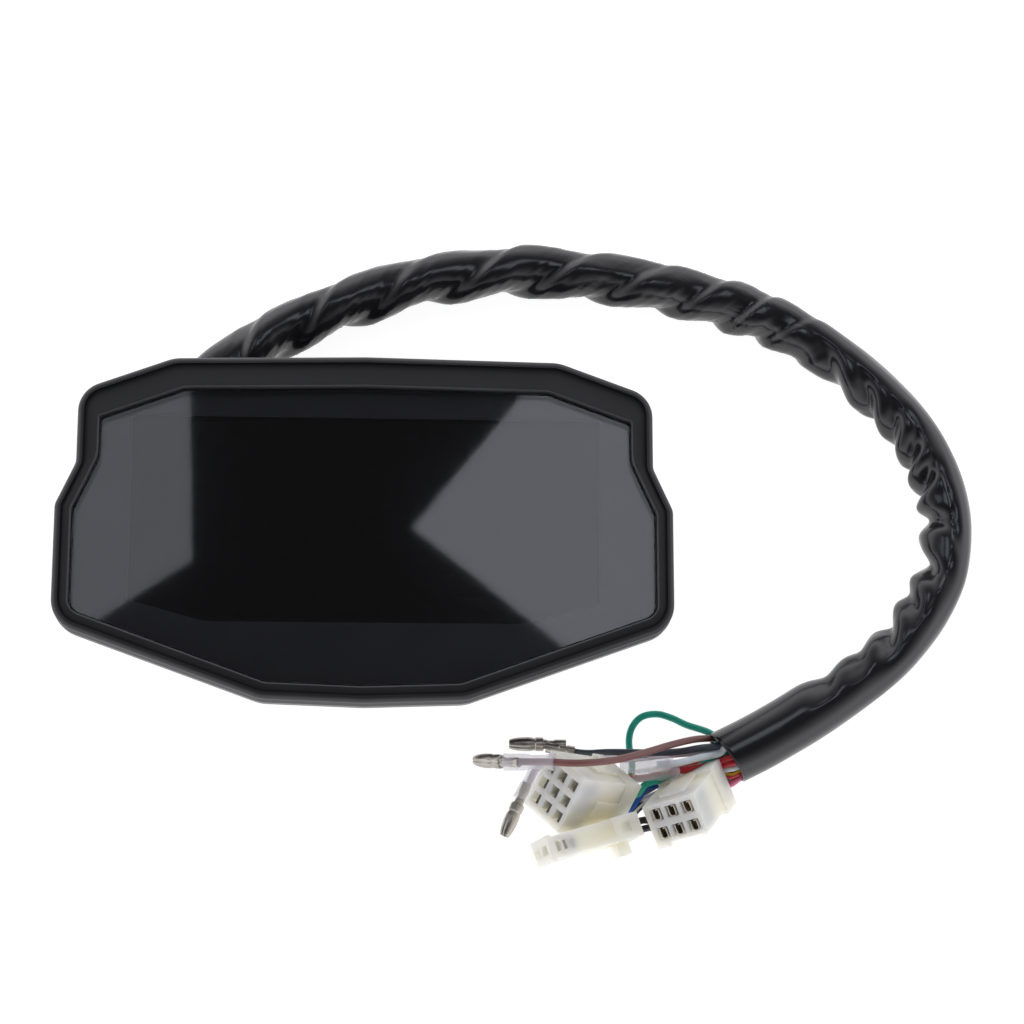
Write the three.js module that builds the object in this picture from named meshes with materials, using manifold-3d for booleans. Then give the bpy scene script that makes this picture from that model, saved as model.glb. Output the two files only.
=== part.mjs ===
// Motorcycle instrument cluster with its wiring harness, in millimetres.
// +X is right and +Y is the top of the display; +Z points out of the display at the rider.
// The origin is the centre of the mounting plane, where the four rear bosses end.
import * as THREE from "three";
import { mergeVertices } from "three/addons/utils/BufferGeometryUtils.js";
import Module from "manifold-3d";

const wasm = await Module();
wasm.setup();

// ---------------------------------------------------------------- driving sizes
const GAP = 0.3; // clearance between pieces that touch

// Case outline, seen from the front
const CASE_WIDTH = 173.1;
const CASE_HEIGHT = 99.6;
const EDGE_BOW = 1; // the top and bottom edges rise this much at their middle
const SHOULDER_STEP = 5.5; // the upper sides stand this far inside the lower sides
const CHAMFER_RUN = 26.55;
const CHAMFER_DROP = 9.8;
const UPPER_SIDE = 21;
const JOG_DROP = 12.2;
const SLOPE_RUN = 58.05;
const SLOPE_RISE = 21.1;
const TOP_VERTEX_RADIUS = 12;
const SHOULDER_RADIUS = 8.5;
const JOG_RADIUS = 5;
const HIP_RADIUS = 9.5;
const BOTTOM_VERTEX_RADIUS = 12;

// Bezel width along each edge of the outline
const BEZEL = {
  top: 8.75,
  chamfer: 9.25,
  upperSide: 6.05,
  jog: 4.7,
  lowerSide: 4.65,
  slope: 4.65,
  bottom: 4.5,
};

// Stack of layers, from the mounting plane up
const BOSS_PROUD = 3; // the bosses stand this far behind the back box
const BOX_DEPTH = 12;
const COVER_FLOOR = 2;
const STANDOFF = 1;
const BOARD_THICK = 1.6;
const CARRIER_FLOOR = 0.7;
const REFLECTOR_THICK = 0.4;
const GUIDE_THICK = 2;
const GLASS_THICK = 1.6;
const DISPLAY_AIR = 2.4; // from the display glass up to the printed mask
const MASK_THICK = 0.5;
const LENS_THICK = 2;
const LENS_RECESS = 2;
const SEAM_DEPTH = 7; // from the bezel's face down to the joint between the two shells

// Front case and lens
const EDGE_FILLET = 1.9;
const MOUTH_CHAMFER = 0.5;
const SHELF_LEDGE = 1.5;
const TAPE_THICK = 0.4;
const TAPE_WIDTH = 1;

// Display window in the mask
const MASK_SIDE = 9.05;
const MASK_TOP = 8.15;
const MASK_BOTTOM = 18.95;
const WINDOW_CHAMFER_RUN = 21.75;
const WINDOW_CHAMFER_RISE = 5.95;
const GLASS_LAP = 2;
const CARRIER_WALL = 1.2;
const LAMP_BAR = 2.2;
const FLEX_WIDTH = 30;
const FLEX_THICK = 0.4;
const SOCKET_HEIGHT = 1.8;

// Rear cover
const RIM_HEIGHT = 4.6;
const RIM_INSET = 0.25;
const COVER_INSET = 3.4;
const COVER_DRAFT = 1;
const COVER_WALL = 3.4;
const SEAL_INSET = 5.05;
const SEAL_WIDTH = 0.85;
const SEAL_HEIGHT = 0.85;
const BOX_HALF_WIDTH = 62;
const BOX_LOW = -34;
const BOX_HIGH = 33;
const BOX_WALL = 2;
const BOX_RADIUS = 4;
const NOTCH_WIDTH = 18; // the corner left out of the box for the cable
const NOTCH_HEIGHT = 19;

// Fasteners
const COLUMN_RADIUS = 2.9;
const COLUMN_INSET = 3.3;
const COLUMN_CORNER_INSET = 4.4;
const COLUMN_SPREAD = 24;
const SCREW_RADIUS = 1.1;
const SCREW_HEAD_RADIUS = 1.9;
const SCREW_HEAD_HEIGHT = 1.5;
const SCREW_HEAD_DEPTH = 2.6;
const SCREW_GRIP = 3.2; // thread length in the front case
const THREAD_CLEARANCE = 0.15;
const BOARD_SCREW_LENGTH = 4;
const BOSS_RADIUS = 6.5;
const BOSS_X = 36;
const BOSS_Y = 25;
const BOSS_HEIGHT = 12;
const INSERT_RADIUS = 3.2;
const INSERT_BORE = 2.1;
const INSERT_LENGTH = 9;

// Rear push buttons
const BUTTON_X = 15;
const BUTTON_Y = -21;
const BUTTON_RADIUS = 3.7;
const BUTTON_FLANGE = 5;
const BUTTON_PROUD = 1.4;
const BUTTON_TRAVEL = 0.8;
const SWITCH_SIZE = 6;
const SWITCH_HEIGHT = 3.8;
const PLUNGER_RADIUS = 1.7;
const PLUNGER_PROUD = 1.7;
const STEM_RADIUS = 1.5;

// Vent plug
const VENT_X = 45;
const VENT_Y = -6;
const VENT_STEM = 2;
const VENT_CAP = 4.5;

// Cable outlet
const OUTLET_X = -53;
const OUTLET_Z = 9.3;
const OUTLET_HALF_WIDTH = 5.2;
const OUTLET_HALF_HEIGHT = 3.2;
const FLANGE_LIP = 0.6;
const FLANGE_THICK = 1.8;
const BOOT_LENGTH = 4.4;
const BOOT_END_RADIUS = 6;
const HEADER_WIDTH = 22;
const HEADER_DEPTH = 8;
const HEADER_HEIGHT = 6;

// Harness
const SLEEVE_RADIUS = 7.2;
const LEAD_RADIUS = 1;
const CORE_RADIUS = 2.9;

// ---------------------------------------------------------------- heights
const boxBottom = BOSS_PROUD;
const boxFloorTop = boxBottom + BOX_WALL;
const coverBottom = boxBottom + BOX_DEPTH;
const coverFloorTop = coverBottom + COVER_FLOOR;
const standoffTop = coverFloorTop + STANDOFF;
const boardBottom = standoffTop + GAP;
const boardTop = boardBottom + BOARD_THICK;
const carrierBottom = boardTop + GAP;
const carrierFloorTop = carrierBottom + CARRIER_FLOOR;
const reflectorBottom = carrierFloorTop + GAP;
const guideBottom = reflectorBottom + REFLECTOR_THICK + GAP;
const guideTop = guideBottom + GUIDE_THICK;
const glassBottom = guideTop + GAP;
const glassTop = glassBottom + GLASS_THICK;
const maskBottom = glassTop + DISPLAY_AIR;
const maskTop = maskBottom + MASK_THICK;
const lensBottom = maskTop + GAP;
const lensTop = lensBottom + LENS_THICK;
const caseTop = lensTop + LENS_RECESS;
const seam = caseTop - SEAM_DEPTH;
const frontBottom = seam + GAP / 2;
const rearTop = seam - GAP / 2;
const tapeBottom = maskBottom - GAP - TAPE_THICK;
const shelfTop = tapeBottom - GAP;

// ---------------------------------------------------------------- materials
const finish = (color, roughness, metalness = 0) => () =>
  new THREE.MeshStandardMaterial({ color, roughness, metalness });
const blackPlastic = finish(0x232325, 0.6);
const maskBlack = finish(0x18181a, 0.45);
const smokedLens = finish(0x101114, 0.08);
const displayGlass = finish(0x0c0d0f, 0.15);
const whitePlastic = finish(0xe9e9e4, 0.5);
const clearAcrylic = finish(0xdfe6e8, 0.1);
const boardGreen = finish(0x1f5a34, 0.5);
const chipBlack = finish(0x1a1a1c, 0.5);
const polyimide = finish(0xb8772e, 0.4);
const rubber = finish(0x1c1c1d, 0.85);
const steel = finish(0xb9babd, 0.35, 0.9);
const brass = finish(0xc9a15a, 0.35, 0.9);
const blackVinyl = finish(0x141415, 0.35);
const ivoryNylon = finish(0xe8e6d8, 0.45);
const clearVinyl = finish(0xdcdcdf, 0.25);
const tinned = finish(0xc4c0b8, 0.3, 0.9);
const leadColour = {
  brown_lead: finish(0x6b4642, 0.5),
  grey_lead: finish(0x5a5f68, 0.5),
  lilac_lead: finish(0xc9c4d4, 0.5),
  white_lead: finish(0xdfe3e6, 0.5),
  green_lead: finish(0x2c8f80, 0.5),
};

// ---------------------------------------------------------------- solids and meshes
function solidOf(geometry) {
  const bare = new THREE.BufferGeometry().setAttribute("position", geometry.getAttribute("position"));
  if (geometry.index) bare.setIndex(geometry.index);
  const merged = mergeVertices(bare, 1e-4);
  return new wasm.Manifold(
    new wasm.Mesh({
      numProp: 3,
      vertProperties: new Float32Array(merged.getAttribute("position").array),
      triVerts: new Uint32Array(merged.index.array),
    }),
  );
}

function geometryOf(solid) {
  const mesh = solid.getMesh();
  const geometry = new THREE.BufferGeometry();
  geometry.setAttribute("position", new THREE.BufferAttribute(new Float32Array(mesh.vertProperties), 3));
  geometry.setIndex(new THREE.BufferAttribute(new Uint32Array(mesh.triVerts), 1));
  geometry.computeVertexNormals();
  return geometry;
}

const join = (first, ...others) => others.reduce((whole, piece) => whole.add(piece), first);
const cut = (first, ...tools) => tools.reduce((whole, tool) => whole.subtract(tool), first);

const cluster = new THREE.Group();

function place(name, shape, material, parent = cluster) {
  const geometry = shape.isBufferGeometry ? shape : geometryOf(shape);
  const mesh = new THREE.Mesh(geometry, material());
  mesh.name = name;
  parent.add(mesh);
  return mesh;
}

// A closed skin over rings of points, each ring anticlockwise seen against the direction of travel.
function skin(rings) {
  const count = rings[0].length;
  const points = rings.flat();
  const faces = [];
  for (let level = 0; level + 1 < rings.length; level++) {
    for (let i = 0; i < count; i++) {
      const a = level * count + i;
      const b = level * count + ((i + 1) % count);
      faces.push(a, b, b + count, a, b + count, a + count);
    }
  }
  const flat = rings[0].map((p) => new THREE.Vector2(p.x, p.y));
  const caps = THREE.ShapeUtils.triangulateShape(flat, []);
  const last = (rings.length - 1) * count;
  for (const [a, b, c] of caps) {
    faces.push(a, c, b);
    faces.push(last + a, last + b, last + c);
  }
  const geometry = new THREE.BufferGeometry();
  geometry.setAttribute("position", new THREE.Float32BufferAttribute(points.flatMap((p) => p.toArray()), 3));
  geometry.setIndex(faces);
  return geometry;
}

const lift = (loop, z) => loop.map((p) => new THREE.Vector3(p.x, p.y, z));
const loft = (...levels) => solidOf(skin(levels.map(([loop, z]) => lift(loop, z))));
const slab = (loop, low, high) => loft([loop, low], [loop, high]);

function block(lowX, highX, lowY, highY, lowZ, highZ) {
  const box = new THREE.BoxGeometry(highX - lowX, highY - lowY, highZ - lowZ);
  box.translate((lowX + highX) / 2, (lowY + highY) / 2, (lowZ + highZ) / 2);
  return solidOf(box);
}

function rod(x, y, radius, low, high, sides = 16) {
  const cylinder = new THREE.CylinderGeometry(radius, radius, high - low, sides);
  cylinder.rotateX(Math.PI / 2);
  cylinder.translate(x, y, (low + high) / 2);
  return solidOf(cylinder);
}

// A turned piece about +Z, from [radius, height] pairs that go up from the axis and back to it.
function turned(profile, sides = 16) {
  const lathe = new THREE.LatheGeometry(profile.map(([r, z]) => new THREE.Vector2(r, z)), sides);
  lathe.rotateX(Math.PI / 2);
  return solidOf(lathe);
}

// ---------------------------------------------------------------- outlines
// Each edge of an anticlockwise polygon moved inwards by its own distance.
function insetPolygon(corners, distances) {
  const lines = corners.map((corner, i) => {
    const next = corners[(i + 1) % corners.length];
    const along = new THREE.Vector2(next.x - corner.x, next.y - corner.y).normalize();
    const inward = new THREE.Vector2(-along.y, along.x);
    return { start: new THREE.Vector2(corner.x, corner.y).addScaledVector(inward, distances[i]), along };
  });
  return corners.map((corner, i) => {
    const a = lines.at(i - 1);
    const b = lines[i];
    const turn = a.along.cross(b.along);
    const reach = b.start.clone().sub(a.start).cross(b.along) / turn;
    const moved = a.start.clone().addScaledVector(a.along, reach);
    const mean = (distances.at(i - 1) + distances[i]) / 2;
    const tighter = Math.max(corner.radius - mean, Math.min(corner.radius, 1));
    const radius = turn > 0 ? tighter : corner.radius + mean;
    return { x: moved.x, y: moved.y, radius };
  });
}

// The polygon with each corner replaced by an arc of its radius.
function roundedLoop(corners, steps = 3) {
  return corners.flatMap((corner, i) => {
    const here = new THREE.Vector2(corner.x, corner.y);
    const back = new THREE.Vector2(corners.at(i - 1).x, corners.at(i - 1).y).sub(here);
    const next = corners[(i + 1) % corners.length];
    const ahead = new THREE.Vector2(next.x, next.y).sub(here);
    if (!corner.radius) return [here];
    const half = (Math.PI - Math.acos(back.dot(ahead) / back.length() / ahead.length())) / 2;
    const room = 0.48 * Math.min(back.length(), ahead.length());
    const reach = Math.min(corner.radius * Math.tan(half), room);
    const radius = reach / Math.tan(half);
    const middle = back.clone().normalize().add(ahead.clone().normalize()).normalize();
    const centre = here.clone().addScaledVector(middle, radius / Math.cos(half));
    const first = here.clone().addScaledVector(back.normalize(), reach).sub(centre);
    const sense = Math.sign(-back.cross(ahead));
    return Array.from({ length: steps + 1 }, (_, k) =>
      first.clone().rotateAround(new THREE.Vector2(), (sense * 2 * half * k) / steps).add(centre),
    );
  });
}

const halfWidth = CASE_WIDTH / 2;
const halfHeight = CASE_HEIGHT / 2;
const upperX = halfWidth - SHOULDER_STEP;
const shoulderY = halfHeight - EDGE_BOW - CHAMFER_DROP;
const jogTopY = shoulderY - UPPER_SIDE;
const hipY = SLOPE_RISE + EDGE_BOW - halfHeight;
const LEFT_SIDE = [
  { x: CHAMFER_RUN - upperX, y: halfHeight - EDGE_BOW, radius: TOP_VERTEX_RADIUS },
  { x: -upperX, y: shoulderY, radius: SHOULDER_RADIUS },
  { x: -upperX, y: jogTopY, radius: JOG_RADIUS },
  { x: -halfWidth, y: jogTopY - JOG_DROP, radius: JOG_RADIUS },
  { x: -halfWidth, y: hipY, radius: HIP_RADIUS },
  { x: SLOPE_RUN - halfWidth, y: EDGE_BOW - halfHeight, radius: BOTTOM_VERTEX_RADIUS },
];
const CASE_CORNERS = [
  { x: 0, y: halfHeight, radius: 0 },
  ...LEFT_SIDE,
  { x: 0, y: -halfHeight, radius: 0 },
  ...LEFT_SIDE.map((corner) => ({ ...corner, x: -corner.x })).reverse(),
];
const DOWN_EDGES = ["top", "chamfer", "upperSide", "jog", "lowerSide", "slope", "bottom"];
const CASE_EDGES = [...DOWN_EDGES, ...DOWN_EDGES.toReversed()];

const insetCorners = (inset) => insetPolygon(CASE_CORNERS, CASE_EDGES.map(() => inset));
const caseLoop = (inset = 0) => roundedLoop(insetCorners(inset));
const apertureLoop = (inset = 0) =>
  roundedLoop(insetPolygon(CASE_CORNERS, CASE_EDGES.map((edge) => BEZEL[edge] + inset)), 2);

const windowSide = upperX - BEZEL.upperSide - MASK_SIDE;
const windowTop = halfHeight - BEZEL.top - MASK_TOP;
const windowBottom = BEZEL.bottom + MASK_BOTTOM - halfHeight;
const WINDOW_CORNERS = [
  { x: windowSide, y: windowTop },
  { x: -windowSide, y: windowTop },
  { x: -windowSide, y: windowBottom + WINDOW_CHAMFER_RISE },
  { x: WINDOW_CHAMFER_RUN - windowSide, y: windowBottom },
  { x: windowSide - WINDOW_CHAMFER_RUN, y: windowBottom },
  { x: windowSide, y: windowBottom + WINDOW_CHAMFER_RISE },
];

function boxLoop(inset) {
  const corners = [
    { x: BOX_HALF_WIDTH, y: BOX_HIGH },
    { x: NOTCH_WIDTH - BOX_HALF_WIDTH, y: BOX_HIGH },
    { x: NOTCH_WIDTH - BOX_HALF_WIDTH, y: BOX_HIGH - NOTCH_HEIGHT },
    { x: -BOX_HALF_WIDTH, y: BOX_HIGH - NOTCH_HEIGHT },
    { x: -BOX_HALF_WIDTH, y: BOX_LOW },
    { x: BOX_HALF_WIDTH, y: BOX_LOW },
  ].map((corner) => ({ ...corner, radius: BOX_RADIUS }));
  return roundedLoop(insetPolygon(corners, corners.map(() => inset)), 3);
}

// Case screws: the four corners of the outline, and two along the top and the bottom
const cornerSpots = insetCorners(COLUMN_CORNER_INSET);
const HIP = 5;
const SHOULDER = 2;
const CASE_SCREWS = [
  cornerSpots[SHOULDER],
  cornerSpots.at(-SHOULDER),
  cornerSpots[HIP],
  cornerSpots.at(-HIP),
  { x: -COLUMN_SPREAD, y: halfHeight - EDGE_BOW / 2 - COLUMN_INSET },
  { x: COLUMN_SPREAD, y: halfHeight - EDGE_BOW / 2 - COLUMN_INSET },
  { x: -COLUMN_SPREAD, y: EDGE_BOW + COLUMN_INSET - halfHeight },
  { x: COLUMN_SPREAD, y: EDGE_BOW + COLUMN_INSET - halfHeight },
];
const screwHeadTop = coverBottom + SCREW_HEAD_DEPTH + SCREW_HEAD_HEIGHT;
const screwTip = frontBottom + SCREW_GRIP;

const glassSide = windowSide + GLASS_LAP;
const glassLow = windowBottom - GLASS_LAP;
const glassHigh = windowTop + GLASS_LAP;
const carrierSide = glassSide + GAP + CARRIER_WALL;
const carrierLow = glassLow - GAP - CARRIER_WALL;
const carrierHigh = glassHigh + LAMP_BAR + 2 * GAP + CARRIER_WALL - GLASS_LAP;
const boardInset = COVER_INSET + COVER_WALL + GAP;
const BOARD_SCREWS = [
  { x: -(carrierSide + 4), y: -4 },
  { x: carrierSide + 4, y: -4 },
];
const MOUNT_BOSSES = [
  { x: -BOSS_X, y: -BOSS_Y },
  { x: BOSS_X, y: -BOSS_Y },
  { x: -BOSS_X, y: BOSS_Y },
  { x: BOSS_X, y: BOSS_Y },
];
const BUTTONS = [
  { side: "left", x: -BUTTON_X },
  { side: "right", x: BUTTON_X },
];

// ---------------------------------------------------------------- front of the case
function frontCase() {
  const turns = [0, 22.5, 45, 67.5, 90].map(THREE.MathUtils.degToRad);
  const edge = turns.map((turn) => [
    caseLoop(EDGE_FILLET * (1 - Math.cos(turn))),
    caseTop - EDGE_FILLET * (1 - Math.sin(turn)),
  ]);
  const body = loft([caseLoop(), frontBottom], ...edge);
  const mouth = slab(apertureLoop(), shelfTop, caseTop + 1);
  const lead = loft(
    [apertureLoop(), caseTop - MOUTH_CHAMFER],
    [apertureLoop(-2 * MOUTH_CHAMFER), caseTop + MOUTH_CHAMFER],
  );
  const shelf = slab(apertureLoop(SHELF_LEDGE), frontBottom - 1, caseTop);
  const threads = CASE_SCREWS.map(({ x, y }) =>
    rod(x, y, SCREW_RADIUS + THREAD_CLEARANCE, frontBottom - 1, screwTip + GAP, 8),
  );
  return cut(body, mouth, lead, shelf, ...threads);
}

function lensPlate() {
  return loft(
    [apertureLoop(GAP), lensBottom],
    [apertureLoop(GAP), lensTop - GAP],
    [apertureLoop(2 * GAP), lensTop],
  );
}

function lensTape() {
  const ring = slab(apertureLoop(GAP), tapeBottom, tapeBottom + TAPE_THICK);
  return cut(ring, slab(apertureLoop(GAP + TAPE_WIDTH), tapeBottom - 1, lensTop));
}

function maskFrame() {
  const plate = slab(apertureLoop(GAP), maskBottom, maskTop);
  const corners = WINDOW_CORNERS.map(({ x, y }) => new THREE.Vector2(x, y));
  return cut(plate, slab(corners, maskBottom - 1, maskTop + 1));
}

// ---------------------------------------------------------------- display stack
function carrierTray() {
  const tray = block(-carrierSide, carrierSide, carrierLow, carrierHigh, carrierBottom, glassTop);
  const inside = CARRIER_WALL;
  const recess = block(
    inside - carrierSide,
    carrierSide - inside,
    carrierLow + inside,
    carrierHigh - inside,
    carrierFloorTop,
    glassTop + 1,
  );
  const pocket = withinCover(recess, inside);
  const flexSlot = block(
    -FLEX_WIDTH / 2 - GAP,
    FLEX_WIDTH / 2 + GAP,
    carrierLow - 1,
    carrierLow + inside + 1,
    glassBottom - GAP,
    glassTop + 1,
  );
  return withinCover(cut(tray, pocket, flexSlot), 0);
}

// The part of a solid that stays clear of the rear cover's wall by the given distance
function withinCover(solid, clear) {
  return solid.intersect(slab(caseLoop(boardInset + clear), coverBottom, caseTop));
}

// The glass and the sheets behind it lose the lower corners that the tray's wall needs
const cornerClear = CARRIER_WALL + GAP;
const glassPlate = () =>
  withinCover(block(-glassSide, glassSide, glassLow, glassHigh, glassBottom, glassTop), cornerClear);
const guideHigh = windowTop + GAP;
const lightGuide = () =>
  withinCover(block(-glassSide, glassSide, glassLow, guideHigh, guideBottom, guideTop), cornerClear);
const lampLow = guideHigh + GAP;
function lampBar() {
  const bar = block(-windowSide, windowSide, lampLow, lampLow + LAMP_BAR - GAP, guideBottom, guideTop);
  return withinCover(bar, cornerClear);
}

function reflectorSheet() {
  const top = reflectorBottom + REFLECTOR_THICK;
  return withinCover(block(-glassSide, glassSide, glassLow, guideHigh, reflectorBottom, top), cornerClear);
}

// Display flex: out of the glass's lower edge, over the tray's wall and down to its socket
const socketY = carrierLow - 3;
const socketTop = carrierBottom + SOCKET_HEIGHT;

function displayFlex() {
  const middle = glassBottom + GLASS_THICK / 2;
  const low = middle - FLEX_THICK / 2;
  const high = middle + FLEX_THICK / 2;
  const side = (x, y) => new THREE.Vector2(x, y);
  const profile = new THREE.Shape([
    side(glassLow - GAP, low),
    side(glassLow - GAP, high),
    side(socketY - FLEX_THICK / 2, high),
    side(socketY - FLEX_THICK / 2, socketTop + GAP),
    side(socketY + FLEX_THICK / 2, socketTop + GAP),
    side(socketY + FLEX_THICK / 2, low),
  ]);
  const strip = new THREE.ExtrudeGeometry(profile, { depth: FLEX_WIDTH, bevelEnabled: false });
  strip.translate(0, 0, -FLEX_WIDTH / 2);
  // profile X is the part's Y, profile Y is Z, and the depth runs along X
  strip.applyMatrix4(new THREE.Matrix4().makeBasis(
    new THREE.Vector3(0, 1, 0),
    new THREE.Vector3(0, 0, 1),
    new THREE.Vector3(1, 0, 0),
  ));
  return solidOf(strip);
}

const flexSocket = () =>
  block(-FLEX_WIDTH / 2 - 2, FLEX_WIDTH / 2 + 2, socketY - 2, socketY + 2, carrierBottom, socketTop);

// ---------------------------------------------------------------- electronics
function mainBoard() {
  const board = slab(caseLoop(boardInset), boardBottom, boardTop);
  const holes = BOARD_SCREWS.map(({ x, y }) =>
    rod(x, y, SCREW_RADIUS + GAP, boardBottom - 1, boardTop + 1, 8),
  );
  return cut(board, ...holes);
}

const underBoard = boardBottom - GAP;
const chip = (x, y, width, height, thick) =>
  block(x - width / 2, x + width / 2, y - height / 2, y + height / 2, underBoard - thick, underBoard);

const headerX = OUTLET_X + 8;
const headerY = -4;
const headerBottom = underBoard - HEADER_HEIGHT;

const switchBore = PLUNGER_RADIUS + GAP;
function switchBody({ x }) {
  const body = chip(x, BUTTON_Y, SWITCH_SIZE, SWITCH_SIZE, SWITCH_HEIGHT);
  const bottom = underBoard - SWITCH_HEIGHT;
  const depth = BUTTON_TRAVEL + PLUNGER_PROUD / 2 + GAP;
  return cut(body, rod(x, BUTTON_Y, switchBore, bottom - 1, bottom + depth));
}

const plungerBottom = underBoard - SWITCH_HEIGHT - PLUNGER_PROUD;
const switchPlunger = ({ x }) =>
  rod(x, BUTTON_Y, PLUNGER_RADIUS, plungerBottom, plungerBottom + 1.5 * PLUNGER_PROUD);

// ---------------------------------------------------------------- back of the case
function rearCover() {
  const skirt = loft(
    [caseLoop(COVER_INSET + COVER_DRAFT), coverBottom],
    [caseLoop(COVER_INSET), rearTop - RIM_HEIGHT],
    [caseLoop(COVER_INSET), rearTop],
  );
  const rim = loft(
    [caseLoop(RIM_INSET + 1), rearTop - RIM_HEIGHT],
    [caseLoop(RIM_INSET), rearTop - RIM_HEIGHT + 1],
    [caseLoop(RIM_INSET), rearTop],
  );
  const box = slab(boxLoop(0), boxBottom, coverBottom + 1);
  const cavity = slab(caseLoop(COVER_INSET + COVER_WALL), coverFloorTop, rearTop + 1);
  const boxCavity = slab(boxLoop(BOX_WALL), boxFloorTop, coverFloorTop + 1);
  const columns = CASE_SCREWS.map(({ x, y }) => rod(x, y, COLUMN_RADIUS, coverBottom, rearTop, 10));
  const standoffs = BOARD_SCREWS.map(({ x, y }) =>
    rod(x, y, COLUMN_RADIUS, coverFloorTop - 1, standoffTop, 12),
  );
  const bosses = MOUNT_BOSSES.map(({ x, y }) => rod(x, y, BOSS_RADIUS, 0, BOSS_HEIGHT, 20));
  const shell = join(cut(join(skirt, rim, box), cavity, boxCavity), ...columns, ...standoffs, ...bosses);
  const groove = cut(
    slab(caseLoop(SEAL_INSET - GAP), rearTop - SEAL_HEIGHT - GAP, rearTop + 1),
    slab(caseLoop(SEAL_INSET + SEAL_WIDTH + GAP), coverBottom, rearTop + 2),
  );
  const screwHoles = CASE_SCREWS.flatMap(({ x, y }) => [
    rod(x, y, SCREW_RADIUS + GAP, coverBottom - 1, rearTop + 1, 8),
    rod(x, y, SCREW_HEAD_RADIUS + GAP, coverBottom - 1, screwHeadTop + GAP, 10),
  ]);
  const boardHoles = BOARD_SCREWS.map(({ x, y }) =>
    rod(x, y, SCREW_RADIUS + THREAD_CLEARANCE, coverBottom + 0.7, standoffTop + 1, 8),
  );
  const insertHoles = MOUNT_BOSSES.map(({ x, y }) =>
    rod(x, y, INSERT_RADIUS + GAP, -1, INSERT_LENGTH + 2 * GAP, 16),
  );
  const buttonHoles = BUTTONS.map(({ x }) =>
    rod(x, BUTTON_Y, BUTTON_RADIUS + GAP, boxBottom - 1, boxFloorTop + 1, 16),
  );
  const ventHole = rod(VENT_X, VENT_Y, VENT_STEM + GAP, boxBottom - 1, boxFloorTop + 1, 10);
  const outlet = block(
    OUTLET_X - OUTLET_HALF_WIDTH,
    OUTLET_X + OUTLET_HALF_WIDTH,
    outletWall - BOX_WALL - 1,
    outletWall + 1,
    OUTLET_Z - OUTLET_HALF_HEIGHT,
    OUTLET_Z + OUTLET_HALF_HEIGHT,
  );
  return cut(shell, groove, ...screwHoles, ...boardHoles, ...insertHoles, ...buttonHoles, ventHole, outlet);
}

function caseSeal() {
  const bottom = rearTop - SEAL_HEIGHT;
  const ring = slab(caseLoop(SEAL_INSET), bottom, rearTop);
  return cut(ring, slab(caseLoop(SEAL_INSET + SEAL_WIDTH), bottom - 1, rearTop + 1));
}

const ventPlug = () => turned([
  [0, boxBottom - 1.5],
  [VENT_CAP - 0.5, boxBottom - 1.5],
  [VENT_CAP, boxBottom - 1],
  [VENT_CAP, boxBottom - GAP],
  [VENT_STEM, boxBottom - GAP],
  [VENT_STEM, boxFloorTop + 1],
  [0, boxFloorTop + 1],
]);

function pushButton() {
  const flangeBottom = boxFloorTop + GAP;
  return turned([
    [0, boxBottom - BUTTON_PROUD],
    [BUTTON_RADIUS - 0.8, boxBottom - BUTTON_PROUD],
    [BUTTON_RADIUS, boxBottom - BUTTON_PROUD + 0.8],
    [BUTTON_RADIUS, flangeBottom],
    [BUTTON_FLANGE, flangeBottom],
    [BUTTON_FLANGE, flangeBottom + 1],
    [STEM_RADIUS, flangeBottom + 1.6],
    [STEM_RADIUS, plungerBottom - GAP],
    [0, plungerBottom - GAP],
  ]);
}

// Screw pointing up, its head's underside at the given height
const screwUp = (x, y, seat, tip) => join(
  rod(x, y, SCREW_HEAD_RADIUS, seat - SCREW_HEAD_HEIGHT, seat, 10),
  rod(x, y, SCREW_RADIUS, seat - SCREW_HEAD_HEIGHT / 2, tip, 8),
);
const screwDown = (x, y, seat, tip) => join(
  rod(x, y, SCREW_HEAD_RADIUS, seat, seat + SCREW_HEAD_HEIGHT, 10),
  rod(x, y, SCREW_RADIUS, tip, seat + SCREW_HEAD_HEIGHT / 2, 8),
);
const mountInsert = (x, y) => cut(
  rod(x, y, INSERT_RADIUS, GAP, INSERT_LENGTH, 16),
  rod(x, y, INSERT_BORE, -1, INSERT_LENGTH + 1, 12),
);

// ---------------------------------------------------------------- cable outlet
const outletWall = BOX_HIGH - NOTCH_HEIGHT; // outer face of the wall that the cable leaves through

// A solid along +Y over ellipses, each [half width, half height, centre height, y]
function alongY(levels, sides = 16) {
  const rings = levels.map(([a, b, z, y]) =>
    Array.from({ length: sides }, (_, k) => {
      const turn = (2 * Math.PI * k) / sides;
      return new THREE.Vector3(OUTLET_X + a * Math.cos(turn), b * Math.sin(turn) - z, y);
    }),
  );
  // built upright and laid over, so that its height runs along +Y
  return solidOf(skin(rings).rotateX(-Math.PI / 2));
}

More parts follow.
